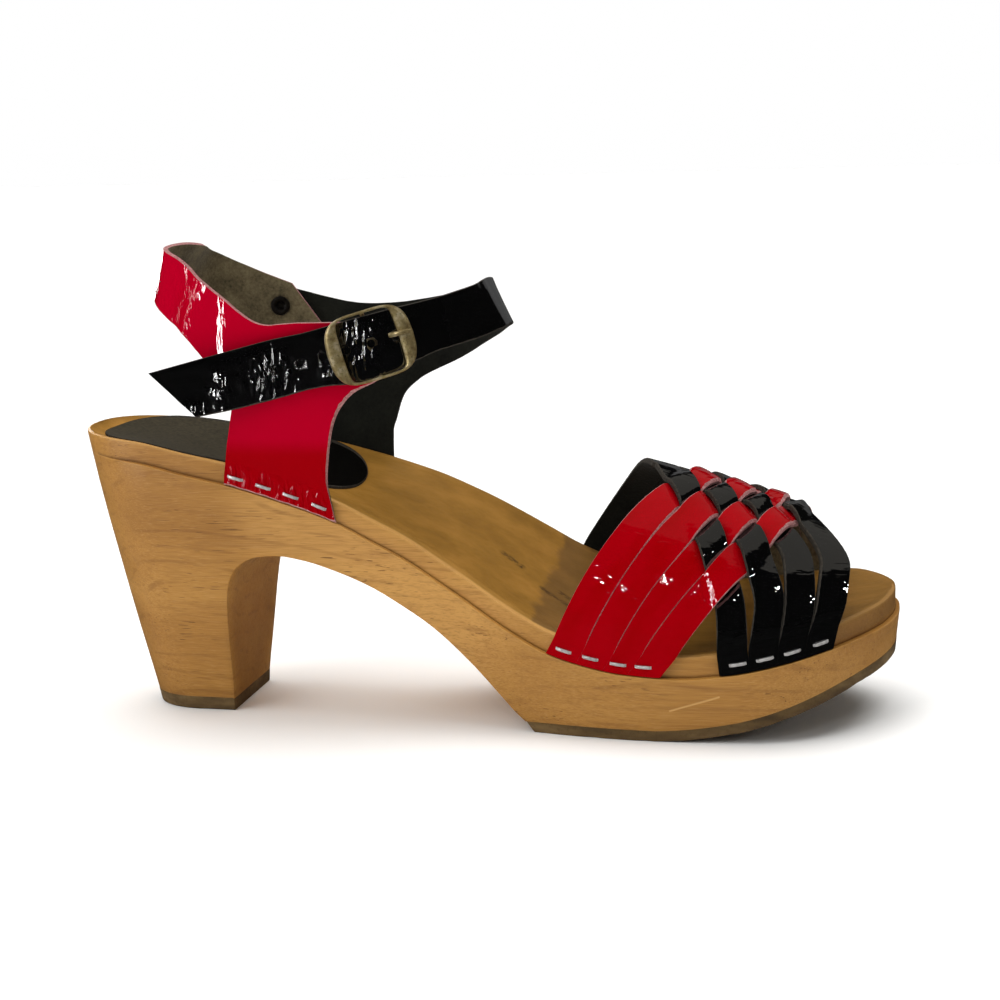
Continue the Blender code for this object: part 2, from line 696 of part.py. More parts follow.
def make_buckle_frame():
    """Brass ring with a centre bar set back behind it."""
    axes = buckle_frame_axes()
    bow = 1.2
    outside = buckle_ring(BUCKLE_LONG / 2 - bow, BUCKLE_WIDE / 2, bow)
    inside = buckle_ring(BUCKLE_LONG / 2 - BUCKLE_SIDE_BAR, BUCKLE_WIDE / 2 - BUCKLE_RAIL, 0.2)
    loops = [(outside, 0.0), (outside, BUCKLE_THICK), (inside, BUCKLE_THICK), (inside, 0.0)]
    points = [buckle_point(axes, u, v, n) for ring, n in loops for u, v in ring]
    size = len(outside)
    faces = []
    for i in range(4):
        for j in range(size):
            k = (j + 1) % size
            after = (i + 1) % 4
            faces.append((i * size + j, i * size + k, after * size + k, after * size + j))
    frame = finish_mesh("buckle_frame", points, faces, (0.30, 0.20, 0.07), 0.35, 1.0)
    edge = BUCKLE_WIDE / 2 - 0.6
    inner = BUCKLE_WIDE / 2 - BUCKLE_RAIL + 0.1
    low = -BAR_DROP
    profile = [(-edge, 0.4), (-edge, low), (edge, low), (edge, 0.4), (inner, 0.4), (inner, low + BAR_THICK),
               (-inner, low + BAR_THICK), (-inner, 0.4)]
    sections = [[buckle_point(axes, u, v, n) for v, n in profile] for u in (-BAR_LONG / 2, BAR_LONG / 2)]
    bar = loft("buckle_bar_shape", sections, (0.30, 0.20, 0.07), 0.35, 1.0)
    bar.hide_render = True
    bar.display_type = "WIRE"
    union = frame.modifiers.new("bar", "BOOLEAN")
    union.operation = "UNION"
    union.object = bar
    return frame


def make_buckle_prong():
    """Brass pin from the centre bar through the strap to the front bar."""
    axes = buckle_frame_axes()
    path = [(1.9, -1.6), (1.9, 0.4), (2.5, 1.7), (4.2, 2.5), (8.0, 2.9), (12.4, 3.1)]
    lean = [(1.0, 0.0), (1.0, 0.0), (0.7, -0.7), (0.2, -1.0), (0.08, -1.0), (0.05, -1.0)]
    sections = []
    low = PRONG_ACROSS - PRONG_WIDE / 2
    high = PRONG_ACROSS + PRONG_WIDE / 2
    half = PRONG_THICK / 2
    for (u, n), (du, dn) in zip(path, lean):
        back = (u - du * half, n - dn * half)
        front = (u + du * half, n + dn * half)
        corners = [(back, low), (back, high), (front, high), (front, low)]
        sections.append([buckle_point(axes, place[0], v, place[1]) for place, v in corners])
    return loft("buckle_prong", sections, (0.32, 0.22, 0.08), 0.35, 1.0)


def rivet_axes():
    """Centre of the rivet on the form and its outward direction."""
    centre = form_point(ring_form, RIVET_AT, RIVET_HEIGHT, 0.0)
    out = form_point(ring_form, RIVET_AT, RIVET_HEIGHT, 1.0) - centre
    upward = np.array([0.0, 0.0, 1.0])
    side = np.cross(upward, out)
    side /= np.linalg.norm(side)
    return centre, side, np.cross(out, side), out


def turned(name, profile, color, metallic):
    """A round solid about the rivet's line; the profile gives radius and distance out."""
    centre, side, up, out = rivet_axes()
    sections = []
    for radius, n in profile:
        ring = []
        for k in range(20):
            turn = 2 * math.pi * k / 20
            ring.append(centre + out * n + radius * (side * math.cos(turn) + up * math.sin(turn)))
        sections.append(ring)
    return loft(name, sections, color, 0.4, metallic)


def make_rivet():
    """Two-headed rivet through the heel strap and the inner quarter."""
    low = -2.3 - GAP
    high = LEATHER + GAP
    profile = [(1.9, low - RIVET_CAP), (RIVET_HEAD, low - 0.3), (RIVET_HEAD, low), (RIVET_SHANK, low),
               (RIVET_SHANK, high), (RIVET_HEAD, high), (RIVET_HEAD, high + 0.3), (1.9, high + RIVET_CAP)]
    return turned("rivet", profile, (0.03, 0.03, 0.03), 1.0)


def cut(piece, cutter):
    """Take the shape of a hidden cutter out of a piece."""
    cutter.hide_render = True
    cutter.display_type = "WIRE"
    change = piece.modifiers.new("hole", "BOOLEAN")
    change.operation = "DIFFERENCE"
    change.object = cutter


def cut_holes(red, black):
    """Open the leather for the rivet and for the prong."""
    radius = RIVET_SHANK + GAP
    for piece, name in ((red, "rivet_hole_red_shape"), (black, "rivet_hole_black_shape")):
        cut(piece, turned(name, [(radius, -6.0), (radius, 6.0)], (0.1, 0.1, 0.1), 0.0))
    axes = buckle_frame_axes()
    low = PRONG_ACROSS - PRONG_WIDE / 2 - GAP
    high = PRONG_ACROSS + PRONG_WIDE / 2 + GAP
    corners = [(0.9, low), (3.6, low), (3.6, high), (0.9, high)]
    sections = [[buckle_point(axes, u, v, n) for u, v in corners] for n in (-5.0, 4.0)]
    cut(black, loft("prong_hole_shape", sections, (0.1, 0.1, 0.1), 0.4))


def move_to_box_middle(pieces):
    """Put the middle of the bottom of the whole box at the origin."""
    corners = np.array([v.co[:] for piece in pieces for v in piece.data.vertices])
    low, high = corners.min(axis=0), corners.max(axis=0)
    shift = Vector((-(low[0] + high[0]) / 2, -(low[1] + high[1]) / 2, -low[2]))
    for piece in bpy.context.scene.objects:
        for vertex in piece.data.vertices:
            vertex.co += shift


def build():
    for old in list(bpy.data.objects):
        bpy.data.objects.remove(old)
    red = make_band("quarter_red", RED_QUARTER, ring_form, (0.25, 0.005, 0.01))
    black = make_band("quarter_black", BLACK_QUARTER, strap_form, (0.008, 0.008, 0.008))
    pieces = [make_wood_sole(), make_outsole(), make_heel_lift(), make_heel_sock(), make_vamp(), red, black]
    pieces += [make_buckle_frame(), make_buckle_prong(), make_rivet()]
    cut_holes(red, black)
    move_to_box_middle(pieces)


build()
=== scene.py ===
"""Looks of the open-toe clog: rounded wood, woven patent strips, straps, buckle and staples.

Shapes are worked out in millimetres, with the back of the heel at x = 0, the toe at +X, the outer side
of the foot at -Y and the floor at z = 0. They are then moved into the frame, in metres.
"""

import math

import bmesh
import bpy
import numpy as np
from mathutils import Matrix, Vector


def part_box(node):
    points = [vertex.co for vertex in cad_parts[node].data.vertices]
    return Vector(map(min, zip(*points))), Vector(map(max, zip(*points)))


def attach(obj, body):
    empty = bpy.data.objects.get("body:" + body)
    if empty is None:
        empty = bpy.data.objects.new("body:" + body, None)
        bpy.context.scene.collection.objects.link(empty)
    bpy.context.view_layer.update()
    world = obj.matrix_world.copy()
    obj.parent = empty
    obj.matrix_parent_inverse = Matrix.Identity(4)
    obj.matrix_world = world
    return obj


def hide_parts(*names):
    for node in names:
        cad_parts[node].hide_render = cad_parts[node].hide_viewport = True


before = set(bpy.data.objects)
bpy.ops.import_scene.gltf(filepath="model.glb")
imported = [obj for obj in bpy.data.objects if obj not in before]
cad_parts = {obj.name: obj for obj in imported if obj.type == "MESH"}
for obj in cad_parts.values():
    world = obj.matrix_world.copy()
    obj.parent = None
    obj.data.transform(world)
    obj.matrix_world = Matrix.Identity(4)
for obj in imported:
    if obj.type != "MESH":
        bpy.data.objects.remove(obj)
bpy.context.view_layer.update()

MM = 0.001
MERGE_WITHIN = 0.002
SMALL_STEP = 0.5
SMALL_TURN = 0.004
UP = np.array([0.0, 0.0, 1.0])

# Sole sizes
SOLE_LENGTH = 240.5
SOLE_FIRST = 0.1
SOLE_INNER = 42.0
BREAST_X = 45.6
HEEL_ROUND = 30.0
HEEL_POWER = 2.2
TOE_START_OUTER = 195.0
TOE_START_INNER = 207.0
TOE_TIP_Y = 13.0
TOE_POWER = 2.1
BACK_SLOPE = 0.205
BACK_TOP = 85.0
SIDE_TAPER = 0.14
NARROW_HALF = 12.0
TOE_PULL = 0.09
RIM_SET_BACK = 1.3
RABBET_HEIGHT = 6.0
RABBET_DEPTH = 2.0
TOE_RABBET_LOSS = 0.3
HEEL_LIP = 1.2
RIM_LIP = 3.0
LIP_SHARE = 0.3
LEAST_LIP = 1.3
BED_RUN = 1.4
BED_STEP = 0.35
FULL_HOLLOW = 45.0
LIFT_TOP = 3.5
WOOD_FLOOR = 3.0
OUTSOLE_REAR = 136.0
OUTSOLE_SLANT = 2.2
OUTSOLE_INSET = 0.1
GAP = 0.3
EDGE_ROUND = 0.9
LEDGE_ROUND = 0.5
SOLE_ROUND = 0.4
SHEET_ROUND = 0.4
LIFT_ROUND = 0.8
RUBBER_WEAR = 0.3
WEAR_WAVES = 0.16
LEAST_SIDE = 1.0
NEARLY_HALF = 0.45
FIRST_SHEET_STEP = 2.0

# Stretches along the sole, from and to: where the rabbet begins and where it thins, where the lip grows,
# where the heel's taper gives way to the forefoot's, and where the toe draws back
RABBET_START = (10, 26)
RABBET_END = (215, 240)
LIP_GROWS = (60, 100)
HEEL_TO_FORE = (58, 108)
TOE_DRAWN = (205, SOLE_LENGTH)

# Stations of the sole's mesh: turns of the rounded heel and toe, places at the breast and between them
HEEL_TURNS = np.radians(np.linspace(2, 86, 24))
TOE_TURNS = np.radians(np.linspace(3, 88, 28))
BREAST_STATIONS = [
    31, 34, 37.5, 41, 43.6, 44.9, BREAST_X, 45.9, 46.4, 46.8, 47.2, 47.7, 48.2, 49, 50, 51.4, 53, 55,
]
MIDDLE_STATIONS = list(np.arange(57.5, TOE_START_INNER - 1.5, 2.9))

# Loops of the sole's mesh, counted from its underside: shares of the side's height where loops run, the
# foot of the rabbet wall, which carries painted shade in its corner, and the loops along the edges that are
# rubbed pale, with how pale they are
SIDE_SHARES = (0.12, 0.26, 0.42, 0.58, 0.74, 0.88)
WALL_FOOT = 12
WORN_LOOPS = [(10, 0.7), (14, 1.0), (15, 1.0), (16, 0.8)]
RUBBED_RIM = 0.5
BED_COLUMNS = 18
UNDER_COLUMNS = 8

# Growth rings of the wood: where they bow down and how sharply and deep, their slant, sway and spacing
GRAIN_BOW_AT = -84.0
GRAIN_BOW_SHARP = 0.022
GRAIN_BOW_DEPTH = -16.0
GRAIN_SLANT = 0.25
GRAIN_SWAY = 24.0
GRAIN_TURNS = 0.95

# Marks in the wood, in the frame's millimetres: painted light along the waist and a scratch with start and
# end, and dark knots in the footbed with start, end and half width
PAINTED_LIGHT_WAIST = ((-52, 0, 62), (-4, 0, 32))
SCRATCH = ((57.5, 0, 9.4), (71, 0, 13.8))
KNOTS = [
    ((4.5, 0.5, 44.6), (10, -0.5, 41.2), 2.1), ((17.5, -6, 36.5), (26, -8, 32), 2.0),
    ((22, -2, 34.5), (30, -5, 30.5), 1.7),
]

# Leather sizes, and the numbers of its finishes
OUTSIDE, EDGE, INSIDE = 0, 1, 2
LEATHER = 2.0
STRIP_THICK = 1.5
STRIP_RAISE = 1.0
STRIP_CROWN = 0.7
RED_STRIP = 9.0
BLACK_STRIP = 8.2
SLIT = 0.14
SLIT_END = 0.93
SLIT_FADE = 0.06
SLIT_CLOSED = 0.9
BAND_THICK = 1.4
PUCKER = 0.30
PUCKER_WAVES = 0.55

# Raw edges: their slope, how uneven they are and in which waves, and for the strips the width at the rear
# and the front edge and the stretch down the side over which they all but close. They close more over the
# seat.
CUT_SLOPE = 0.85
CUT_UNEVEN = 0.25
CUT_WAVES = 60
CUT_SHIFT = 7
BAND_CUT_WAVES = 6
RED_CUT = (0.3, 0.85, 0.20, 0.62)
BLACK_CUT = (0.40, 0.22, 0.80, 0.92)
SEAT_CUT = (0.86, 0.93)
CUT_LOSS = 0.88
SEAT_CUT_LOSS = 0.95

# Raw low edge of the quarters: its width, and what it gains along the front of the red quarter, between
# these rows of its table
RED_RAW_EDGE = (0.45, 0.95)
BLACK_RAW_EDGE = (0.4, 0.0)
FRONT_ROWS = (1.0, 3.0, 6.5, 7.5)
HIGH_RAW_EDGE = 0.15

# Heel sock sizes
SOCK_PROUD = 0.35
SOCK_SUNK = 0.1
SOCK_BACK = 5.2
SOCK_FRONT = 83.0
SOCK_TIP = 58.0
SOCK_MIDDLE = 0.9
SOCK_HALF = 28.3
SOCK_WAIST = 2.0
SOCK_INNER = 1.8
SOCK_END_HALF = 8.0
SOCK_NARROWS = (40, 70)
SOCK_INNER_ENDS = (14, 45)
SOCK_ROUND = 0.2
SOCK_TURNS = np.linspace(0.03, math.pi - 0.03, 60)
SOCK_COLUMNS = 25

# Sole outline at the ledge: distance along, half width on the outer and on the inner side
OUTLINE = [
    (30, 31.5, 31.5), (45, 32.3, 31.5), (60, 32, 30), (80, 31, 28), (100, 30.5, 27.5),
    (120, 31.5, 29.5), (140, 34.5, 34), (160, 37.5, 38.5), (178, 38.8, 41), (195, 38.8, 42),
    (205, 38.8, 42),
]

# Height of the rim: distance along, outer side, inner side
RIM = [
    (0, 85, 85), (22, 82.9, 82), (37, 79.6, 80), (50, 76.9, 78), (66, 72, 75.6), (82, 65.9, 71.8),
    (92, 60.6, 68.9), (102, 55.3, 65.5), (112, 48.8, 60.9), (119, 44.2, 57.3), (127, 38.8, 52.6),
    (134, 34.6, 48.2), (144, 29.7, 42), (155, 26.8, 36.8), (165, 25.2, 33.2), (180, 24.6, 30.6),
    (193, 25.8, 30.4), (207, 28.5, 32), (222, 32, 34.4), (232, 33.8, 35.6), (240.5, 34.8, 35.4),
]

# Underside of the breast and arch: distance along, height
ARCH = [
    (45.6, 3.8), (46.4, 16), (47.2, 30), (48.2, 38.8), (50, 43.6), (53, 46.9), (57.5, 49.1), (64, 49.6),
    (72, 48.2), (80, 45.6), (92, 40.5), (100, 35.8), (109, 29.8), (120.3, 19.4), (128, 11), (138, 0),
]

# Underside of the forefoot with its toe spring: distance along, height
SPRING = [
    (100, 3), (172, 3), (180, 3.5), (194, 5.6), (206, 8.8), (218, 12.8), (227, 16), (233, 17.8),
    (240.5, 19.5),
]

# Heel taper: height, half width
HEEL_WIDTH = [(0, 16.9), (3.8, 17.5), (25, 23.3), (40, 26.6), (72, 31.5), (90, 31.5)]

# Hollow of the footbed: distance along, depth under the rim
HOLLOW = [(0, 1.2), (25, 3), (60, 2.2), (110, 1.6), (175, 2.6), (215, 2), (240.5, 0.8)]

# Instep form: height of its crown by distance along, and its shape
CROWN = [(135, 79), (168, 70.8), (190, 64.2), (211, 57.8), (228, 51)]
CROWN_Y = 6.0
VAMP_POWER = 2.2
VAMP_LEAN = 0.10
VAMP_SEAT = 0.91
VAMP_FLAT = (0.80, 0.90)
GIRTH_HALF = 66.0

# Centre lines of the vamp strips, a row per strip: distance along at the outer seat, low on the
# outer side, high on the outer side, at the crown, on the inner side and at the inner seat
PATH_AT = (-1.0, -0.75, -0.5, 0.0, 0.5, 1.0)
RED_PATHS = [
    (148, 155.5, 164, 180.5, 191, 197), (155.5, 164.5, 174, 191, 200, 204.5),
    (163, 173.5, 184.5, 201.5, 208.5, 212), (169.5, 182.2, 194, 206.8, 208.8, 214.5),
]
BLACK_PATHS = [
    (195.6, 193.3, 186.8, 169.5, 159.5, 146.5), (203.2, 203.7, 199, 179.5, 168, 155.5),
    (210.6, 211.8, 210.3, 191, 176.5, 163.5), (217.4, 220.4, 220.6, 206.6, 186.5, 171.5),
]
STRIP_ROWS = 221
STRIP_COLUMNS = 11
STRIP_CREASE = 0.03
STRIP_OFFSET = 200
CROSSING = (0.90, 1.32)
LIFT_BLUR = np.array([1, 2, 3, 2, 1]) / 9

# Ankle form: the oval that the straps lie on, how far it leans in at the back and the front for each
# millimetre up, and the stretch of the sole where it blends down into the rabbet
RING_X = 72.5
RING_BACK = 51.0
RING_FRONT = 53.6
RING_OUTER = 32.0
RING_INNER = 29.5
RING_POWER = 0.833
RING_LEVEL = 115.0
BACK_LEAN = 0.66
FRONT_LEAN = 0.52
LEAN_POWER = 6
QUARTER_BLEND = (20, 120)
QUARTER_BLEND_TOP = 96.0
LEDGE_LOOK_UP = 80.0
TAIL_STRAIGHT_FROM = -5.0

# Red quarter and heel strap, a row per section from the buckle arm to the inner end:
# place of the low edge round the ankle, its height, place of the high edge, its height, distance out.
# A height of 0 means that the edge sits on the sole's ledge.
RED_QUARTER = [
    (-28, 104, -28, 117.5, 0), (-24, 100.6, -23, 117.2, 0), (-17.3, 97.2, -17, 117, 0),
    (-13.5, 93.2, -12, 117, 0), (-11.2, 88.8, -9, 117, 0), (-9.1, 79.8, -5, 117, 0),
    (-8.1, 70.6, -2, 117, 0), (-10.1, 0, 1, 116.8, 0), (-2, 0, 4, 116.6, 0), (6, 0, 6, 116.4, 0),
    (14, 0, 8, 116.6, 0), (22, 0, 10, 117.2, 0), (20.5, 82.2, 12, 118.2, 0), (17.8, 92.2, 15, 120.3, 0),
    (19.5, 98.5, 19, 123.6, 0), (23.5, 103.6, 23, 126.5, 0), (27.5, 107.8, 27.5, 130, 0),
    (35, 115, 34.5, 135, 0), (45.5, 120.6, 45, 137.4, 0), (56.5, 124, 56.5, 138, 0),
    (68, 124.6, 68, 137.4, -0.2), (79, 121.7, 79, 136.6, -0.8), (90, 118.5, 90, 134.8, -1.6),
    (100.5, 114.5, 100, 131.4, -2.3), (112, 110, 109, 127.6, -2.3), (132, 103.4, 117, 124.4, -2.3),
]

# Black quarter, front strap and strap end, a row per section from the inner rear arm to the cut end
BLACK_QUARTER = [
    (-170.5, 112.5, -170.5, 128, 0), (-166.5, 110, -163.5, 125.8, 0), (-161, 104, -159.5, 124.2, 0),
    (-158.5, 96, -157, 123, 0), (-160, 84, -154.5, 122.2, 0), (-162, 0, -152, 121.5, 0),
    (-153.5, 0, -148.5, 120.5, 0), (-144.5, 0, -144.5, 119.5, 0), (-135, 0, -140.5, 118.6, 0),
    (-125.8, 0, -136, 117.9, 0), (-125.8, 77.8, -131.5, 117.7, 0), (-124.7, 82.5, -127.5, 117.8, 0),
    (-122.5, 89.4, -122.5, 118.1, 0), (-117.3, 94.4, -116.5, 118.9, 0), (-103.3, 101.2, -102.8, 121.2, 0),
    (-92, 107.4, -91.3, 123.8, 0), (-81, 111.6, -81, 125.6, 0), (-70.4, 112.6, -70.4, 126, 0),
    (-59.3, 111.8, -59.3, 125.4, 0.5), (-49, 110.2, -49, 124.6, 1.6), (-40.5, 108.6, -40.5, 123.2, 3),
    (-34.5, 106.2, -34, 121.9, 3.5), (-28.5, 103.1, -27.8, 120.6, 4.2), (-23.2, 101.3, -22.2, 119.2, 4.6),
    (-18.2, 100, -16.8, 117.8, 4.2), (-12.5, 99.7, -10.5, 116, 3.4), (-6.5, 98.8, -4, 114.3, 2.8),
    (2.4, 96.5, 5.1, 112.6, 2.5), (15.4, 93.4, 20.5, 108.9, 2.5), (28.3, 90.9, 42.1, 103.5, 2.5),
]
BLACK_PLACES = [row[0] for row in BLACK_QUARTER]
BLACK_OUTS = [row[4] for row in BLACK_QUARTER]
BAND_PARTS = 6
BAND_COLUMNS = 17

# Creases worn into the straps, a row each: place round the ankle, lean forward per millimetre up,
# half width, height of the ridge (a trough is negative)
RED_CREASES = [(32.5, 0.42, 2.2, 0.30), (37, 0.42, 2.2, -0.26), (47, 0.35, 1.8, 0.14)]
BLACK_CREASES = [
    (-63, 0.05, 2.0, 0.16), (-58.5, 0.05, 1.8, -0.20), (14, 0.3, 1.3, 0.30), (18, 0.3, 1.2, -0.30),
    (9.5, 0.2, 1.2, 0.25), (6.5, 0.2, 1.0, -0.22), (26, 0.35, 1.4, 0.30), (-14, 0.2, 1.2, -0.22),
]

# Wrinkles of the straps: how deep they are all over and how much deeper along the staples, then a row for
# each worn patch: how deep, place, height, half length, half height, lean. These values also paint shade,
# deepening the red patent where they are high
RED_SKIN = (0.008, 0.35)
RED_WRINKLES = [(0.24, 34, 118, 2.6, 14, 0.42), (0.12, 47, 121, 1.8, 7, 0.35)]
BLACK_SKIN = (0.01, 0.0)
BLACK_WRINKLES = [
    (0.62, 6, 102, 6, 6, 0), (0.62, -20.5, 110, 4.5, 8, 0), (0.7, -11, 104, 1.5, 6, 0),
    (0.6, 21, 98, 1.6, 5, 0), (0.4, 29, 92, 4, 3, 0),
]

# Heights over the ledge, from and to: where puckers fade, where their wrinkles fade, where creases begin
PUCKER_FADE = (1, 7)
SKIN_FADE = (3, 7)
CREASE_START = (0, 14)

# Buckle sizes, with the strap's tuck behind its rails: depth, where it begins across, half length
BUCKLE_AT = -22.7
BUCKLE_HEIGHT = 110.9
BUCKLE_SLOPE = 0.28
BUCKLE_OUT = 6.3
BUCKLE_LONG = 24.6
BUCKLE_WIDE = 19.6
BUCKLE_THICK = 1.7
BUCKLE_SIDE_BAR = 4.4
BUCKLE_RAIL = 0.8
RAIL_THIN = 0.35
BUCKLE_BOW = 1.7
INNER_BOW = 0.3
OUTER_SQUARE = 0.46
INNER_SQUARE = 0.24
BUCKLE_SIDES = 96
BAR_DROP = 3.6
BAR_RADIUS = 0.6
BAR_TURN = 0.8
BAR_TOP = 0.5
BAR_FLAT = 0.8
BAR_SIDES = 12
PRONG_FLAT = 0.6
PRONG_EXTRA = 0.3
PRONG_SIDES = 14
PRONG_ACROSS = 1.0
PRONG_DENT = (0.7, 1.3)
PRONG_HOLE_AT = 6.9
# The holes stop part way into the strap; their black floors are painted shade standing in for the red
# quarter seen through real holes
HOLE_RADIUS = 1.1
HOLE_SPACING = 6.8
HOLE_ACROSS = 0.4
HOLE_DEPTH = 0.9
HOLE_COUNT = 6
HOLE_SIDES = 20
PUNCH_OUT = 2.0
STRAP_TUCK = (1.1, 0.45, 12)
SQUARISH = 0.6

# Section of the buckle's frame: share of the way from its outer to its inner edge, half thicknesses out
BUCKLE_PROFILE = [
    (0.0, 0.3), (0.0, 0.9), (0.07, 1.5), (0.22, 1.9), (0.45, 2.05), (0.75, 1.9), (0.93, 1.5), (1.0, 0.9),
    (1.0, 0.3), (0.88, 0.0), (0.12, 0.0),
]

# Lean of the centre bar's section along its route: across, out
BAR_LEANS = [(1.0, 0.0), (0.9, 0.4), (0.4, 0.9), (-0.4, 0.9), (-0.9, 0.4), (-1.0, 0.0)]

# Route of the prong: distance along and out, half width
PRONG_ROUTE = [
    (1.2, -2.2, 0.7), (3.0, -2.0, 0.7), (5.0, -1.4, 0.7), (6.2, -0.2, 0.7), (7.2, 1.2, 0.7),
    (8.4, 2.1, 0.68), (9.8, 2.3, 0.62), (11.2, 2.1, 0.52), (11.9, 1.6, 0.3),
]

# Rivet sizes, and its rolled inner ring and low outer dome: radius, distance out from each face
RIVET_AT = 113.2
RIVET_HEIGHT = 117.6
RIVET_INNER_FACE = -2.3
RIVET_OUTER_FACE = LEATHER + GAP
RIVET_RING = [
    (0.1, 0.4), (0.9, 0.35), (1.1, -0.1), (1.4, -0.5), (2.0, -0.7), (2.8, -0.5), (3.0, -0.1), (2.9, 0.35),
    (1.4, 0.4),
]
RIVET_DOME = [(1.4, -0.4), (2.9, -0.35), (3.0, 0.1), (2.5, 0.5), (1.6, 0.75), (0.1, 0.8)]
RIVET_SIDES = 32

# Staple sizes, and half of a staple's route: distance in from its end, out, and the lean of its section
STAPLE_LONG = 4.4
STAPLE_WIDE = 0.85
STAPLE_PROUD = 0.4
STAPLE_HALF_THICK = 0.3
STAPLE_UP = 2.7
STAPLE_SIDES = 8
STAPLE_END = [
    (0.0, -0.9, 1.0, 0.0), (0.0, 0.0, 0.95, 0.3), (0.25, 0.3, 0.7, 0.7), (0.6, STAPLE_PROUD, 0.2, 1.0),
]

# Rows of staples: distance along for the vamp, place round the ankle for the quarters
OUTER_VAMP_STAPLES = (148.2, 155.8, 163.6, 170.6, 196.4, 203.6, 210.8, 218.2)
INNER_VAMP_STAPLES = (197, 204.2, 210.4, 216.2, 147, 155.4, 163.4, 171.4)
RED_QUARTER_STAPLES = (18.5, 10.5, 2.5, -5.5)
BLACK_QUARTER_STAPLES = (-157.5, -149, -140.5, -131.5)

# Camera: where it stands, what it looks at, its roll and its lens
CAMERA_AT = (229.07, -546.01, 157.93)
CAMERA_AIM = (123.40, 5.12, 60.56)
CAMERA_ROLL = -1.445
CAMERA_LENS = 68.84
CAMERA_SENSOR = 36.0
CAMERA_NEAR = 0.01

# Stage: floor and room in linear light, each with its colour or brightness in mirrors
FLOOR_REACH = 40.0
FLOOR_COLOR = (0.99, 0.99, 0.98)
FLOOR_MIRRORED = (0.004, 0.004, 0.004)
FLOOR_FAR = (1.0, 1.0, 1.0)
ROOM_COLOR = (1.0, 0.99, 0.97)
ROOM_LIGHT = 0.16
ROOM_MIRRORED = 0.006

# Wide lights from above: strength, spread in degrees, slope towards the far side
OVERHEAD = (2.9, 70, 0.30)
CEILING = (0.19, 85, 0.41)
CEILING_COLOR = (1.0, 0.95, 0.85)

# Rectangular lights: angle round from the outer side towards the toe, angle up, distance, width, height
# and power. The windows and the card show only in the gloss.
LIGHT_AIM = (0.0, 0.0, 0.06)
LEFT_FILL = (-48, 40, 1.6, 1.2, 1.2, 12.5)
WINDOWS = {
    "far_window": (-59, 13, 0.9, 0.025, 0.50, 1.0), "near_window": (-42, 13, 0.9, 0.025, 0.50, 1.3),
    "back_card": (174, 9, 2.0, 1.2, 0.40, 0.2), "inner_window": (-145, 12, 1.6, 0.16, 0.60, 3.0),
}

# Small lamps that sparkle in the patent: angle round and angle up of each, then distance, size and power
SPARKLES = [(-12, 20), (-1, 34), (31, 44), (55, 28), (84, 23)]
SPARKLE_LAMP = (1.5, 0.025, 0.025, 0.45)

wood_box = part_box("wood_sole")
SHIFT = np.array([wood_box[0].x / MM - SOLE_FIRST, wood_box[1].y / MM - SOLE_INNER, 0.0])


# Curves and small sums

def curve(table, column=1):
    """A smooth curve through one column of a table that never overshoots its rows."""
    knots = [float(row[0]) for row in table]
    values = [float(row[column]) for row in table]
    steps = [b - a for a, b in zip(knots, knots[1:])]
    rises = [(b - a) / s for a, b, s in zip(values, values[1:], steps)]
    slopes = [rises[0]] + [0.0] * (len(rises) - 1) + [rises[-1]]
    for k in range(1, len(rises)):
        before, after = rises[k - 1], rises[k]
        if before * after > 0:
            left = 2 * steps[k] + steps[k - 1]
            right = steps[k] + 2 * steps[k - 1]
            slopes[k] = (left + right) / (left / before + right / after)

    def value(x):
        x = min(max(x, knots[0]), knots[-1])
        k = 0
        while k < len(steps) - 1 and x > knots[k + 1]:
            k += 1
        t = (x - knots[k]) / steps[k]
        start = (1 + 2 * t) * (1 - t) ** 2 * values[k] + t * (1 - t) ** 2 * steps[k] * slopes[k]
        end = t * t * (3 - 2 * t) * values[k + 1] - t * t * (1 - t) * steps[k] * slopes[k + 1]
        return start + end

    return value


def clamp(value):
    return min(max(value, 0.0), 1.0)


def ease(start, end, x):
    """Rise softly from 0 at start to 1 at end."""
    t = clamp((x - start) / (end - start))
    return t * t * (3 - 2 * t)


def wobble(t):
    """An uneven wave between about -1 and 1."""
    return 0.5 * math.sin(2.1 * t) + 0.3 * math.sin(5.3 * t + 1.3) + 0.2 * math.sin(11.7 * t + 0.4)


def signed_power(value, power):
    """A power that keeps the sign of its base."""
    return math.copysign(abs(value) ** power, value)


def unit(vector):
    return vector / np.linalg.norm(vector)


def circle(count, start=0.0):
    """Cosine and sine of turns spaced evenly round."""
    turns = [2 * math.pi * (k + start) / count for k in range(count)]
    return [(math.cos(turn), math.sin(turn)) for turn in turns]


outer_outline, inner_outline = curve(OUTLINE), curve(OUTLINE, 2)
outer_rim, inner_rim = curve(RIM), curve(RIM, 2)
arch_height = curve(ARCH)
spring_height = curve(SPRING)
heel_width = curve(HEEL_WIDTH)
hollow_depth = curve(HOLLOW)
crown_height = curve(CROWN)


# Sole surfaces

def round_end(x, start, end, power):
    """Fall from 1 at start to 0 at end like a rounded corner."""
    return (1 - clamp((x - start) / (end - start)) ** power) ** (1 / power)


def sole_edges(x):
    """Outer and inner y of the sole's outline at the ledge."""
    if x < HEEL_ROUND:
        half = outer_outline(HEEL_ROUND) * round_end(HEEL_ROUND - x, 0, HEEL_ROUND, HEEL_POWER)
        return -half, half
    edges = []
    for y, toe_start in ((-outer_outline(x), TOE_START_OUTER), (inner_outline(x), TOE_START_INNER)):
        if x > toe_start:
            y = TOE_TIP_Y + (y - TOE_TIP_Y) * round_end(x, toe_start, SOLE_LENGTH, TOE_POWER)
        edges.append(y)
    return tuple(edges)


def underside(x):
    """Height of the wood's underside."""
    if x <= BREAST_X:
        return LIFT_TOP + GAP
    return max(arch_height(x), spring_height(x))


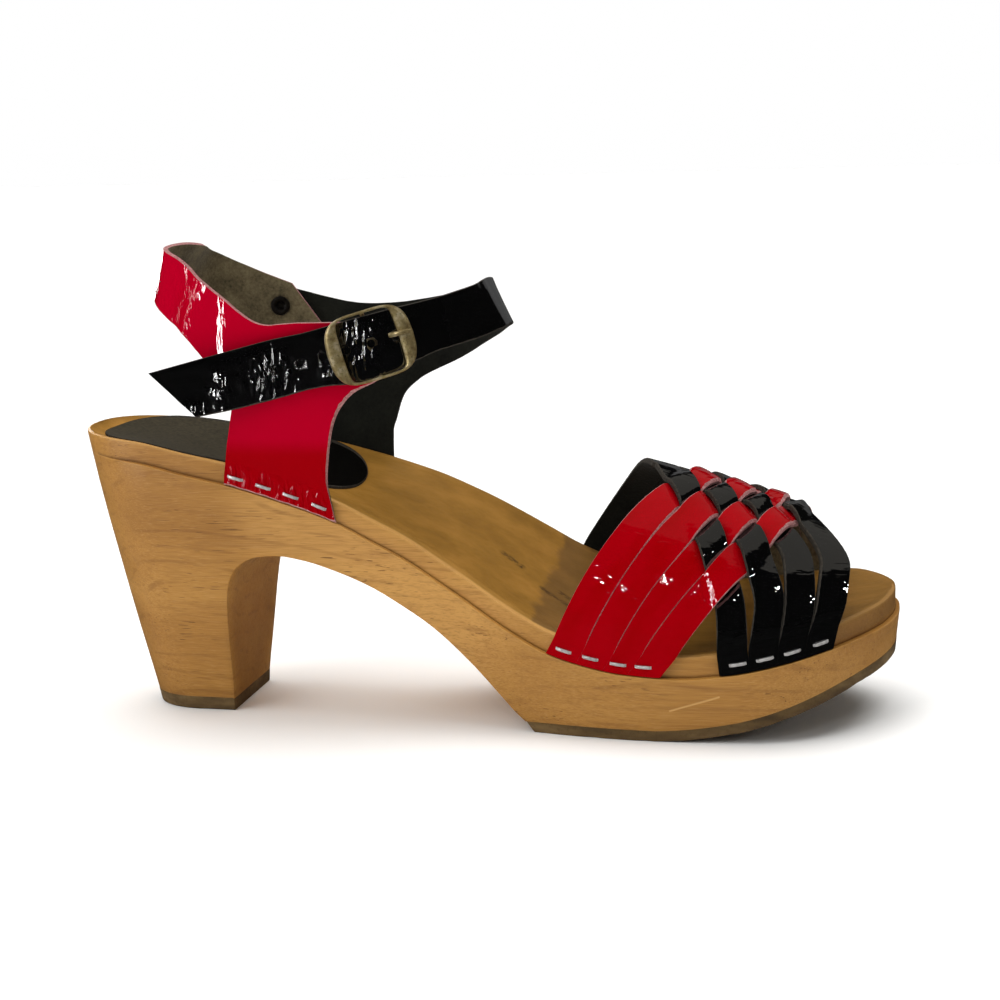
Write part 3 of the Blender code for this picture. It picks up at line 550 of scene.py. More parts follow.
def drawn_in(x, y, amount):
    """Move an edge of the outline in towards the middle of the sole."""
    outer, inner = sole_edges(x)
    middle = (outer + inner) / 2
    half = (inner - outer) / 2
    return middle + (y - middle) * (1 - amount / max(half, NARROW_HALF))


def rim_height(x, y):
    """Height of the rim, sloping evenly from the outer side to the inner side."""
    outer, inner = sole_edges(x)
    share = clamp((y - outer) / max(inner - outer, 0.01))
    return outer_rim(x) + (inner_rim(x) - outer_rim(x)) * share


def wall_edges(x):
    """Outer and inner y of the upright wall of the rabbet, which runs out at the back of the heel."""
    depth = RABBET_DEPTH * ease(*RABBET_START, x) * (1 - TOE_RABBET_LOSS * ease(*RABBET_END, x))
    return tuple(drawn_in(x, y, depth) for y in sole_edges(x))


def lip_width(x):
    """Width of the flat lip of the rim, narrow round the heel."""
    outer, inner = wall_edges(x)
    lip = HEEL_LIP + (RIM_LIP - HEEL_LIP) * ease(*LIP_GROWS, x)
    return min(lip, LIP_SHARE * (inner - outer))


def footbed_height(x, y):
    """Height of the hollowed footbed inside the rim's lip."""
    outer, inner = wall_edges(x)
    lip = lip_width(x)
    share = clamp((y - outer - lip) / max(inner - outer - 2 * lip, 0.01))
    depth = hollow_depth(x) * ease(0, FULL_HOLLOW, inner - outer)
    return rim_height(x, y) - depth * (1 - (2 * share - 1) ** 2)


def back_shift(x, z):
    """How far the sloping back of the heel has come forward at a height."""
    return max(0.0, BACK_TOP - z) * BACK_SLOPE * max(0.0, 1 - x / BREAST_X)


def side_point(x, z, side):
    """A point of the sole's side under the ledge; side 0 is the outer one, 1 the inner one."""
    y = sole_edges(x)[side]
    depth = max(rim_height(x, y) - RABBET_HEIGHT - z, 0.0)
    heel_y = y * heel_width(z) / HEEL_WIDTH[-1][1]
    fore_y = drawn_in(x, y, SIDE_TAPER * depth)
    y = heel_y + (fore_y - heel_y) * ease(*HEEL_TO_FORE, x)
    pull = TOE_PULL * depth * ease(*TOE_DRAWN, x)
    return np.array([x + back_shift(x, z) - pull, y, z])


def rim_shift(x):
    """How far the rim stands back from the platform at the toe."""
    return RIM_SET_BACK * ease(*TOE_DRAWN, x)


# Colours and finishes

def srgb(red, green, blue):
    """A colour as it shows on a screen, turned into linear light."""
    shares = (red / 255, green / 255, blue / 255)
    return tuple(c / 12.92 if c <= 0.04 else ((c + 0.055) / 1.055) ** 2.4 for c in shares)


class Nodes:
    """A node tree put together from small steps."""

    def __init__(self, tree):
        self.tree = tree

    def feed(self, socket, value):
        """Link an output to a socket, or set the socket's own value."""
        if isinstance(value, bpy.types.NodeSocket):
            self.tree.links.new(value, socket)
        elif socket.type == "RGBA":
            socket.default_value = (*value, 1.0)
        else:
            socket.default_value = value

    def step(self, kind, sockets, output=0, **settings):
        """Add a node, feed it and return one of its outputs."""
        node = self.tree.nodes.new("ShaderNode" + kind)
        for key, value in settings.items():
            setattr(node, key, value)
        for key, value in sockets.items():
            self.feed(node.inputs[key], value)
        return node.outputs[output]


class Finish(Nodes):
    """A procedural material. Its mixed colours are given as they show on a screen."""

    def __init__(self, name, **sockets):
        self.material = bpy.data.materials.new(name)
        self.material.use_nodes = True
        super().__init__(self.material.node_tree)
        self.shader = self.tree.nodes["Principled BSDF"]
        for key, value in sockets.items():
            self.set(key.replace("_", " "), value)

    def set(self, name, value):
        self.feed(self.shader.inputs[name], value)

    def value(self, name):
        """A number kept with the points of the mesh."""
        return self.step("Attribute", {}, "Fac", attribute_name=name)

    def place(self, *scale):
        """Coordinates of the frame in millimetres, scaled by one number or by one for each axis."""
        here = self.step("TexCoord", {}, "Object")
        sizes = tuple(s / MM for s in (scale * 3)[:3])
        return self.step("Mapping", {"Vector": here, "Scale": sizes})

    def strap(self, along, across):
        """Coordinates that follow a strap, scaled along it and across it."""
        first = self.times(self.value("along"), along)
        second = self.times(self.value("across"), across)
        return self.step("CombineXYZ", {"X": first, "Y": second})

    def math(self, kind, first, second=0.0, third=0.0):
        return self.step("Math", {0: first, 1: second, 2: third}, operation=kind)

    def times(self, first, second):
        return self.math("MULTIPLY", first, second)

    def rest(self, value):
        """What is left over to 1."""
        return self.math("SUBTRACT", 1.0, value)

    def noise(self, place, detail, roughness, bend=0.0):
        sockets = {"Vector": place, "Scale": 1.0, "Detail": detail, "Roughness": roughness}
        return self.step("TexNoise", {**sockets, "Distortion": bend}, "Fac")

    def grain(self, detail, roughness, *scale):
        """Noise over the frame, scaled by one number or by one for each axis."""
        return self.noise(self.place(*scale), detail, roughness)

    def between(self, value, low, high):
        """0 under low, 1 over high and smooth between them."""
        sockets = {"Value": value, "From Min": low, "From Max": high}
        return self.step("MapRange", sockets, interpolation_type="SMOOTHSTEP")

    def spread(self, value, low, high):
        """Spread a 0 to 1 value evenly over another range."""
        return self.step("MapRange", {"Value": value, "To Min": low, "To Max": high})

    def mix(self, share, first, second):
        """Mix two colours, given as outputs or as red, green and blue."""
        first, second = (srgb(*c) if isinstance(c, tuple) else c for c in (first, second))
        return self.step("Mix", {0: share, 6: first, 7: second}, 2, data_type="RGBA")

    def tint(self, base, share, amount, color):
        """Mix a colour into a base by a share of 0 to 1 times an amount."""
        return self.mix(self.times(share, amount), base, color)

    def shade(self, value, *stops):
        """Colours along a value, given as place and colour."""
        node = self.tree.nodes.new("ShaderNodeValToRGB")
        ramp = node.color_ramp
        while len(ramp.elements) < len(stops):
            ramp.elements.new(0.5)
        for element, (position, color) in zip(ramp.elements, stops):
            element.position = position
            element.color = (*srgb(*color), 1.0)
        self.feed(node.inputs["Fac"], value)
        return node.outputs["Color"]

    def stroke(self, place, start, end, low, high):
        """1 close to the line between two points of the place coordinates, 0 further away."""
        line = Vector(end) - Vector(start)
        apart = self.step("VectorMath", {0: place, 1: start}, operation="SUBTRACT")
        share = {0: apart, 1: tuple(line / line.length_squared)}
        along = self.step("VectorMath", share, "Value", operation="DOT_PRODUCT")
        along = self.step("Clamp", {"Value": along})
        nearest = self.step("VectorMath", {0: tuple(line), "Scale": along}, operation="SCALE")
        away = self.step("VectorMath", {0: apart, 1: nearest}, "Value", operation="DISTANCE")
        return self.rest(self.between(away, low, high))

    def bump(self, height, depth, share, below=None):
        """Raise the surface by a height of 0 to 1 times a depth in millimetres."""
        sockets = {"Height": height, "Distance": depth * MM, "Strength": share}
        if below is not None:
            sockets["Normal"] = below
        normal = self.step("Bump", sockets)
        self.set("Normal", normal)
        return normal


def growth_rings(finish, x, y, z):
    """Thin broken rings that bow down round the heel."""
    away = finish.times(finish.math("SUBTRACT", x, GRAIN_BOW_AT), GRAIN_BOW_SHARP)
    near = finish.math("EXPONENT", finish.times(finish.math("POWER", away, 2.0), -1.0))
    slanted = finish.math("MULTIPLY_ADD", y, GRAIN_SLANT, z)
    rise = finish.math("ADD", finish.times(near, GRAIN_BOW_DEPTH), slanted)
    rise = finish.math("MULTIPLY_ADD", finish.grain(2, 0.5, 0.010, 0.03, 0.03), GRAIN_SWAY, rise)
    rings = finish.spread(finish.math("SINE", finish.times(rise, GRAIN_TURNS)), 0.5, 1.0)
    broken = finish.grain(2, 0.5, 0.05, 0.25, 0.25)
    return finish.times(finish.between(rings, 0.86, 1.0), finish.between(broken, 0.40, 0.62))


def bed_marks(finish, here, x, z, bed):
    """Footbed marks, rows of share, amount and colour: rubbed wood, painted shade at toe and ball, knots.
    """
    rubbed = finish.shade(finish.grain(4, 0.6, 0.045, 0.09, 0.09),
                          (0.3, (116, 83, 29)), (0.5, (137, 98, 36)), (0.7, (158, 113, 48)))
    over_ledge = finish.between(finish.math("MULTIPLY_ADD", x, -0.158, z), 9.5, 12.0)
    # Painted shade: the rim and bed at the toe are darkened where less light reaches them
    toe = finish.times(finish.between(x, 55.0, 105.0), over_ledge)
    uneven = finish.math("MULTIPLY_ADD", finish.grain(5, 0.65, 0.06), 10.0, x)
    # Painted shadow of the vamp's strips over the ball of the footbed
    vamp_shadow = finish.math("SUBTRACT", finish.between(uneven, 21.5, 24.0), finish.between(x, 48.0, 62.0))
    ragged = finish.between(finish.grain(3, 0.6, 0.5, 1.2, 1.2), 0.37, 0.56)
    marks = [(bed, 0.78, rubbed), (toe, 0.45, (88, 64, 36)), (finish.times(vamp_shadow, bed), 0.52, (74, 55, 40))]
    for start, end, size in KNOTS:
        knot = finish.times(finish.stroke(here, start, end, 0.2, size), bed)
        marks.append((knot, ragged, (62, 44, 24)))
    return marks


def wood_finish():
    """Honey-coloured alder: growth rings, fibres, short dark pores, wear, a satin varnish, painted light
    and shade.
    """
    finish = Finish("alder_wood", Coat_Roughness=0.25)
    here, beside = finish.place(1), finish.place(1, 0, 1)
    x, y, z = (finish.step("SeparateXYZ", {0: here}, axis) for axis in "XYZ")
    bed = finish.between(finish.value("bed"), 0.1, 0.5)
    # Painted light: the waist under the rim, though not the footbed, is painted paler where light falls on
    # it
    painted_waist_light = finish.times(finish.stroke(beside, *PAINTED_LIGHT_WAIST, 4.0, 24.0), finish.rest(bed))
    streak = finish.grain(4, 0.6, 0.020, 0.9, 0.9)
    fibre = finish.grain(3, 0.6, 0.12, 3.6, 3.6)
    pore = finish.between(finish.grain(1, 0.5, 0.11, 2.6, 2.6), 0.66, 0.72)
    pore = finish.times(pore, finish.between(finish.grain(2, 0.5, 0.03, 0.12, 0.12), 0.46, 0.60))
    scratch = finish.times(finish.stroke(beside, *SCRATCH, 0.1, 0.4), finish.between(y, 0.0, -5.0))
    base = finish.shade(finish.spread(finish.grain(3, 0.5, 0.008, 0.04, 0.05), -0.5, 1.5),
                        (0.0, (152, 104, 44)), (0.5, (171, 121, 54)), (1.0, (188, 138, 66)))
    tints = [
        (painted_waist_light, 0.50, (216, 163, 88)),
        (growth_rings(finish, x, y, z), 0.36, (122, 76, 32)),
        (finish.between(streak, 0.45, 0.70), 0.34, (142, 95, 43)),
        (finish.between(fibre, 0.50, 0.66), 0.28, (128, 82, 36)),
        (finish.between(fibre, 0.46, 0.34), 0.20, (206, 160, 96)),
        (pore, 0.70, (96, 58, 24)),
        (finish.value("worn"), 0.35, (208, 162, 94)),
        # painted shade in the corner at the foot of the rabbet wall
        (finish.between(finish.value("wall_foot_shade"), 0.80, 1.0), 0.55, (84, 52, 22)),
        *bed_marks(finish, here, x, z, bed),
        (scratch, 0.45, (228, 184, 116)),
    ]
    for tint in tints:
        base = finish.tint(base, *tint)
    finish.set("Base Color", base)
    finish.set("Roughness", finish.spread(streak, 0.36, 0.58))
    finish.set("Specular IOR Level", finish.spread(bed, 0.28, 0.12))
    finish.set("Coat Weight", finish.spread(bed, 0.08, 0.0))
    grooves = finish.math("SUBTRACT", fibre, finish.times(pore, 0.8))
    finish.bump(finish.math("SUBTRACT", grooves, scratch), 0.10, 0.5)
    return finish.material


def rubber_finish():
    """Worn brown rubber with a fine crumb and a cross-cut tread underneath."""
    finish = Finish("brown_rubber", Specular_IOR_Level=0.35)
    crumb = finish.grain(5, 0.6, 0.9)
    base = finish.shade(finish.grain(3, 0.6, 0.05, 0.08, 0.2),
                        (0.3, (72, 54, 28)), (0.55, (98, 76, 42)), (0.8, (132, 106, 66)))
    finish.set("Base Color", finish.tint(base, finish.between(crumb, 0.5, 0.75), 0.35, (56, 42, 24)))
    finish.set("Roughness", finish.spread(crumb, 0.6, 0.9))
    down = finish.step("SeparateXYZ", {0: finish.step("NewGeometry", {}, "Normal")}, "Z")
    tread = finish.rest(finish.between(down, -0.9, -0.6))
    for slant in (0.25, -0.25):
        sockets = {"Vector": finish.place(0.25, slant, 0), "Scale": 1.0}
        tread = finish.times(finish.step("TexWave", sockets, "Fac", bands_direction="DIAGONAL"), tread)
    finish.bump(crumb, 0.12, 0.6, finish.bump(tread, 0.5, 0.8))
    return finish.material


def patent_finish(name, deep, light, shine=1.5, fade=None):
    """Glossy patent with soft dimples, and crosswise wrinkles where the crease value is high.

    It is cloudy from deep to light, or fades from deep to light between two heights. The higher shine is,
    the more its skin mirrors.
    """
    finish = Finish(name, Roughness=0.5, Specular_IOR_Level=0.0, Coat_Weight=1.0, Coat_Roughness=0.02,
                    Coat_IOR=shine)
    crease = finish.value("crease")
    # Fading by height paints shade: the leather below the fold at the rim is painted deeper than above it
    if fade:
        pale = finish.between(finish.value("across"), *fade)
    else:
        pale = finish.between(finish.noise(finish.strap(0.06, 0.10), 3, 0.5), 0.2, 0.6)
    # Painted shade: creased places and the leather low down by the staples are painted deeper
    pale = finish.math("SUBTRACT", pale, finish.times(crease, 2.0))
    finish.set("Base Color", finish.mix(finish.step("Clamp", {"Value": pale}), deep, light))
    dimples = finish.bump(finish.noise(finish.strap(0.32, 0.32), 2, 0.4), 0.10, 0.18)
    wrinkle = finish.noise(finish.strap(0.52, 0.17), 1.5, 0.5, 0.3)
    wrinkle = finish.times(finish.between(wrinkle, 0.36, 0.66), crease)
    finish.set("Coat Normal", finish.bump(wrinkle, 1.3, 1.0, dimples))
    return finish.material


def raw_edge_finish(name, dark, light):
    """The cut edge of the leather: pale fibres under a painted skin."""
    finish = Finish(name, Roughness=0.85, Specular_IOR_Level=0.25)
    fuzz = finish.grain(5, 0.7, 1.6)
    finish.set("Base Color", finish.shade(fuzz, (0.3, dark), (0.65, light)))
    finish.bump(fuzz, 0.2, 0.7)
    return finish.material


def flesh_finish(name, dark, light):
    """The napped inside of the leather."""
    finish = Finish(name, Roughness=0.95, Specular_IOR_Level=0.15, Sheen_Weight=0.1, Sheen_Roughness=0.5)
    nap = finish.grain(6, 0.7, 1.1)
    both = finish.math("MULTIPLY_ADD", finish.grain(3, 0.6, 0.09), 0.6, finish.times(nap, 0.5))
    finish.set("Base Color", finish.shade(both, (0.35, dark), (0.75, light)))
    finish.bump(nap, 0.25, 0.8)
    return finish.material


def sock_finish():
    """Smooth black lining leather, polished at its front and rubbed dull under the heel."""
    finish = Finish("black_sock", Specular_IOR_Level=0.15)
    grain = finish.grain(5, 0.6, 0.9)
    dull = finish.rest(finish.between(finish.value("along"), 52.0, 70.0))
    rubbed = finish.shade(grain, (0.3, (36, 32, 23)), (0.7, (66, 59, 44)))
    finish.set("Base Color", finish.mix(dull, (8, 7, 6), rubbed))
    finish.set("Roughness", finish.spread(dull, 0.25, 0.6))
    finish.bump(grain, 0.08, 0.5)
    return finish.material


def brass_finish():
    """Antique brass: dark in the hollows, bright where it is rubbed."""
    finish = Finish("old_brass", Metallic=0.75)
    speck = finish.grain(4, 0.6, 1.8)
    base = finish.shade(finish.grain(5, 0.6, 0.35),
                        (0.28, (140, 118, 74)), (0.5, (190, 170, 120)), (0.72, (235, 220, 180)))
    finish.set("Base Color", finish.tint(base, finish.between(speck, 0.52, 0.72), 0.6, (62, 52, 34)))
    finish.set("Roughness", finish.spread(speck, 0.22, 0.5))
    finish.bump(speck, 0.06, 0.5)
    return finish.material


def metal_finish(name, dark, light, share, rough):
    """A small metal fastener with faint scratches; share is how much of it is bare metal."""
    finish = Finish(name, Metallic=share)
    cloud = finish.grain(4, 0.6, 0.9)
    finish.set("Base Color", finish.shade(cloud, (0.3, dark), (0.7, light)))
    finish.set("Roughness", finish.spread(cloud, rough * 0.7, rough * 1.4))
    return finish.material


WOOD = wood_finish()
RUBBER = rubber_finish()
# The red quarter is painted deeper below the rim and in its creases, as painted shade
RED_PATENT = patent_finish("red_patent", (152, 0, 10), (174, 0, 33), fade=(79.0, 85.0))
RED_WEAVE = patent_finish("red_woven_patent", (144, 0, 3), (158, 0, 12))
RED_EDGE = raw_edge_finish("red_raw_edge", (120, 62, 62), (190, 142, 140))
RED_FLESH = flesh_finish("red_flesh", (44, 38, 24), (136, 122, 92))
BLACK_PATENT = patent_finish("black_patent", (2, 2, 3), (4, 4, 4), shine=2.6)
BLACK_EDGE = raw_edge_finish("black_raw_edge", (20, 18, 16), (66, 61, 54))
BLACK_FLESH = flesh_finish("black_flesh", (6, 7, 5), (30, 31, 24))
SOCK_TOP = sock_finish()
SOCK_EDGE = raw_edge_finish("sock_edge", (20, 18, 16), (64, 59, 51))
BRASS = brass_finish()
RIVET_METAL = metal_finish("dark_metal", (12, 10, 8), (38, 32, 27), 0.6, 0.35)
STAPLE_METAL = metal_finish("staple_steel", (186, 184, 182), (240, 238, 236), 0.5, 0.3)


# Mesh making

def put(name, data):
    """A new object in the scene."""
    thing = bpy.data.objects.new(name, data)
    bpy.context.scene.collection.objects.link(thing)
    return thing


def add_piece(name, points, faces, finishes, picks=None, values=None, flat_over=40.0, merge=True):
    """Put a closed shape into the frame, with a finish for each face and values for its points."""
    mesh = bpy.data.meshes.new(name)
    mesh.from_pydata([tuple((np.asarray(p) + SHIFT) * MM) for p in points], [], faces)
    for finish in finishes:
        mesh.materials.append(finish)
    if picks is not None:
        mesh.polygons.foreach_set("material_index", picks)
    for key, numbers in (values or {}).items():
        mesh.attributes.new(key, "FLOAT", "POINT").data.foreach_set("value", numbers)
    work = bmesh.new()
    work.from_mesh(mesh)
    if merge:
        bmesh.ops.remove_doubles(work, verts=work.verts, dist=MERGE_WITHIN * MM)
    bmesh.ops.recalc_face_normals(work, faces=work.faces)
    work.to_mesh(mesh)
    work.free()
    mesh.polygons.foreach_set("use_smooth", [True] * len(mesh.polygons))
    mesh.set_sharp_from_angle(angle=math.radians(flat_over))
    piece = put(name, mesh)
    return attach(piece, "root")


def stands_for(piece, slot, *nodes):
    """Hide the CAD nodes that a piece is shown in place of; the piece and the slot are not used."""
    if nodes:
        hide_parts(*nodes)


def round_edges(piece, width):
    """Round the sharp edges of a piece."""
    bevel = piece.modifiers.new("rounding", "BEVEL")
    bevel.width = width * MM
    bevel.segments = 2
    bevel.limit_method = "ANGLE"
    bevel.angle_limit = math.radians(40)


def loop_faces(first, second):
    """Faces between two closed loops of point numbers."""
    count = len(first)
    return [(first[k], first[(k + 1) % count], second[(k + 1) % count], second[k]) for k in range(count)]


def skin(loops, caps=True, ring=False):
    """Points and faces of a skin over loops of points, with caps on its ends or joined into a ring."""
    size = len(loops[0])
    numbers = [range(size * k, size * (k + 1)) for k in range(len(loops))]
    faces = []
    for first, second in zip(numbers, numbers[1:]):
        faces += loop_faces(first, second)
    if ring:
        faces += loop_faces(numbers[-1], numbers[0])
    elif caps:
        faces += [tuple(numbers[0]), tuple(numbers[-1])]
    return [p for loop in loops for p in loop], faces


def joined(shapes):
    """Points and faces of several shapes as one list."""
    points, faces = [], []
    for some_points, some_faces in shapes:
        faces += [tuple(n + len(points) for n in face) for face in some_faces]
        points += list(some_points)
    return points, faces


def sweep(path, sections, count):
    """A squarish tube along a path; a section gives two directions at each path point."""
    turns = [(signed_power(c, SQUARISH), signed_power(s, SQUARISH)) for c, s in circle(count, 0.5)]
    return skin([[point + first * c + second * s for c, s in turns]
                 for point, (first, second) in zip(path, sections)])


# Wooden sole and rubber

def sole_stations():
    """Places along the sole, close together where it turns."""
    heel = [HEEL_ROUND * (1 - math.cos(t) ** (2 / HEEL_POWER)) for t in HEEL_TURNS]
    reach = SOLE_LENGTH - TOE_START_INNER
    toe = [TOE_START_INNER + reach * math.sin(t) ** (2 / TOE_POWER) for t in TOE_TURNS]
    return heel + BREAST_STATIONS + MIDDLE_STATIONS + toe


def bed_height(x, y):
    """The footbed's height at a point of its plan."""
    return footbed_height(x + rim_shift(x), y)


def sole_columns(x, side):
    """The main corners of the sole's side at one place: bottom edge, ledge edge, wall foot and rim."""
    y = sole_edges(x)[side]
    rim = rim_height(x, y)
    ledge = rim - RABBET_HEIGHT
    wall = wall_edges(x)[side]
    bottom = side_point(x, min(underside(x), ledge - LEAST_SIDE), side)
    foot = np.array([x - rim_shift(x) + back_shift(x, ledge), wall, ledge])
    top = np.array([x - rim_shift(x) + back_shift(x, rim), wall, rim])
    return bottom, side_point(x, ledge, side), foot, top


def towards(start, end, distance):
    """A point on the way from start to end, at most nearly half way."""
    away = end - start
    length = max(float(np.linalg.norm(away)), 1e-6)
    return start + away * min(distance / length, NEARLY_HALF)


def corner(before, edge, after):
    """The middle of a rounded corner."""
    return 0.25 * before + 0.5 * edge + 0.25 * after


def sole_side_loops(stations):
    """Loops of points round the sole from its underside over the ledge to the lip of the footbed."""
    sides = []
    for side in (0, 1):
        corners = [sole_columns(x, side) for x in stations]
        run = np.gradient(np.array([c[0] for c in corners]), axis=0)
        run /= np.linalg.norm(run[:, [0, 2]], axis=1)[:, None]
        sides.append([(*c, np.array([-r[2], 0.0, r[0]])) for c, r in zip(corners, run)])
    order = [(0, k) for k in range(len(stations))] + [(1, k) for k in range(len(stations) - 1, -1, -1)]
    rims = np.array([sides[s][k][3] for s, k in order])
    run = np.roll(rims, -1, axis=0) - np.roll(rims, 1, axis=0)
    inward = np.stack([-run[:, 1], run[:, 0], 0 * run[:, 0]], axis=1)
    inward /= np.linalg.norm(inward, axis=1)[:, None]
    loops = []
    for (side, k), into in zip(order, inward):
        bottom, ledge, foot, rim, up = sides[side][k]
        x = stations[k]
        start = bottom + SOLE_ROUND * up
        start[1] = side_point(x, start[2], side)[1]
        under = bottom + SOLE_ROUND * into
        shift = start[0] - bottom[0]
        low_ledge = side_point(x, ledge[2] - LEDGE_ROUND, side)
        column = [under, corner(under, bottom, start), start]
        for t in SIDE_SHARES:
            point = side_point(x, start[2] + (low_ledge[2] - start[2]) * t, side)
            point[0] += shift * (1 - t)
            column.append(point)
        on_ledge = towards(ledge, foot, LEDGE_ROUND)
        column += [low_ledge, corner(low_ledge, ledge, on_ledge), on_ledge, foot]
        below_rim = towards(rim, foot, EDGE_ROUND)
        on_lip = rim + EDGE_ROUND * into
        column += [below_rim, corner(below_rim, rim, on_lip), on_lip]
        lip = max(lip_width(x), LEAST_LIP)
        for distance, drop in ((lip, 0.0), (lip + BED_RUN, BED_STEP)):
            point = rim + distance * into
            point[2] = bed_height(point[0], point[1]) - drop
            column.append(point)
        loops.append(column)
    return [[column[n] for column in loops] for n in range(len(loops[0]))]


def make_wood():
    """The carved sole with rounded edges and a hollowed footbed."""
    stations = sole_stations()
    count = len(stations)
    size = 2 * count
    points, faces = skin(sole_side_loops(stations), caps=False)
    bed, worn, wall_foot_shade = ([0.0] * len(points) for _ in range(3))
    bed[-2 * size:] = [1.0] * (2 * size)
    for number, share in WORN_LOOPS:
        start = number * size
        worn[start:start + count] = [share] * count
        if number > WALL_FOOT:
            bed[start + count:start + size] = [RUBBED_RIM * share] * count
    # The loop at the foot of the rabbet wall carries painted shade for its corner
    wall_foot_shade[WALL_FOOT * size:(WALL_FOOT + 1) * size] = [1.0] * size
    for first, columns, is_bed in ((len(points) - size, BED_COLUMNS, True), (0, UNDER_COLUMNS, False)):
        rows = []
        for k in range(count):
            ends = first + k, first + size - 1 - k
            outer, inner = points[ends[0]], points[ends[1]]
            row = [ends[0]]
            if 0 < k < count - 1:
                for j in range(1, columns):
                    point = outer + (inner - outer) * j / columns
                    if is_bed:
                        point[2] = bed_height(point[0], point[1]) - BED_STEP
                    row.append(len(points))
                    points.append(point)
                    bed.append(1.0 if is_bed else 0.0)
                    worn.append(0.0)
                    wall_foot_shade.append(0.0)
            rows.append(row + [ends[1]])
        for one, two in zip(rows[1:-1], rows[2:-1]):
            faces += [(one[j], one[j + 1], two[j + 1], two[j]) for j in range(columns)]
        faces += [tuple(rows[0] + rows[1][::-1]), tuple(rows[-1] + rows[-2][::-1])]
    values = {"bed": bed, "worn": worn, "wall_foot_shade": wall_foot_shade}
    piece = add_piece("clog_sole_wood", points, faces, [WOOD], values=values, flat_over=50)
    stands_for(piece, "alder_wood", "wood_sole")


def make_rubber():
    """Forefoot sheet and heel lift with softly worn edges."""
    sections = []
    for x in [OUTSOLE_REAR] + [x for x in sole_stations() if x > OUTSOLE_REAR + FIRST_SHEET_STEP]:
        top = spring_height(x) + SOLE_ROUND
        low = spring_height(x) - WOOD_FLOOR + RUBBER_WEAR * max(0.0, wobble(WEAR_WAVES * x))
        slant = OUTSOLE_SLANT if x == OUTSOLE_REAR else 0.0
        corners = []
        for z, side, shift in ((low, 0, slant), (top, 0, 0.0), (top, 1, 0.0), (low, 1, slant)):
            point = side_point(x, z, side)
            corners.append((point[0] + shift, drawn_in(x, point[1], OUTSOLE_INSET), z))
        sections.append(corners)
    sheet = add_piece("clog_forefoot_rubber", *skin(sections), [RUBBER])
    round_edges(sheet, SHEET_ROUND)
    stands_for(sheet, "brown_rubber", "forefoot_outsole")
    places = [x for x in sole_stations() if x <= BREAST_X]
    loops = [[side_point(x, z, 0) for x in places] + [side_point(x, z, 1) for x in places[::-1]]
             for z in (0.0, LIFT_TOP + GAP + SOLE_ROUND)]
    lift = add_piece("clog_heel_lift", *skin(loops), [RUBBER])
    round_edges(lift, LIFT_ROUND)
    stands_for(lift, "brown_rubber", "heel_lift")


# Leather pieces

class Leather:
    """Pieces of leather with an outside, a cut edge and an inside, gathered into one object."""

    def __init__(self):
        self.points, self.faces, self.picks = [], [], []
        self.values = {"along": [], "across": [], "crease": []}

    def add(self, outside, inside, *values):
        """Add a closed strip from two grids of points, with along, across and crease values for each point.

        The first and last columns of its outside slope down as the cut edge.
        """
        rows, columns = len(outside), len(outside[0])
        first = len(self.points)
        size = rows * columns
        for grid in (outside, inside):
            self.points += [point for row in grid for point in row]
            for kept, numbers in zip(self.values.values(), values):
                kept += [number for row in numbers for number in row]
        grid = [[first + i * columns + j for j in range(columns)] for i in range(rows)]
        for i in range(rows - 1):
            for j in range(columns - 1):
                quad = (grid[i][j], grid[i + 1][j], grid[i + 1][j + 1], grid[i][j + 1])
                self.faces += [quad, tuple(n + size for n in quad[::-1])]
                self.picks += [EDGE if j in (0, columns - 2) else OUTSIDE, INSIDE]
        ring = grid[0][:-1] + [row[-1] for row in grid[:-1]]
        ring += grid[-1][:0:-1] + [row[0] for row in grid[:0:-1]]
        self.faces += loop_faces(ring, [n + size for n in ring])
        self.picks += [EDGE] * len(ring)

    def finish(self, name, finishes):
        return add_piece(name, self.points, self.faces, finishes, self.picks, self.values, 30.0, False)


def vamp_seat(x, side):
    """Middle of the leather where the vamp stands on the ledge."""
    wall = wall_edges(x)[side]
    away = -1 if side == 0 else 1
    edge = sole_edges(x)[side]
    return wall + away * (GAP + STRIP_THICK / 2), rim_height(x, edge) - RABBET_HEIGHT + GAP


def vamp_form(x, q):
    """The instep form; q runs from -1 at the outer seat over 0 at the crown to 1 at the inner seat."""
    y, z = vamp_seat(x, 0 if q < 0 else 1)
    wall_top = z + RABBET_HEIGHT
    if abs(q) > VAMP_SEAT:
        return np.array([x, y, wall_top - RABBET_HEIGHT * (abs(q) - VAMP_SEAT) / (1 - VAMP_SEAT)])
    turn = abs(q) / VAMP_SEAT * math.pi / 2
    across = math.sin(turn) ** (2 / VAMP_POWER)
    rise = (crown_height(x) - wall_top) * max(math.cos(turn), 0.0) ** (2 / VAMP_POWER)
    return np.array([x + VAMP_LEAN * rise, CROWN_Y + (y - CROWN_Y) * across, wall_top + rise])


def vamp_frame(x, q):
    """A point of the instep form and the direction out of it."""
    along = vamp_form(x + SMALL_STEP, q) - vamp_form(x - SMALL_STEP, q)
    across = vamp_form(x, min(q + SMALL_TURN, 1.0)) - vamp_form(x, max(q - SMALL_TURN, -1.0))
    return vamp_form(x, q), unit(np.cross(along, across))


class Strip:
    """One strip of the weave: its middle line and its two edges at each row."""

    def __init__(self, row, width, places):
        path = curve(list(zip(PATH_AT, row)))
        self.middle = np.array([path(q) for q in places])
        slope = np.gradient(self.middle, places * GIRTH_HALF)
        self.half = width / 2 * np.sqrt(1 + slope * slope)
        self.rear = self.middle - self.half
        self.front = self.middle + self.half


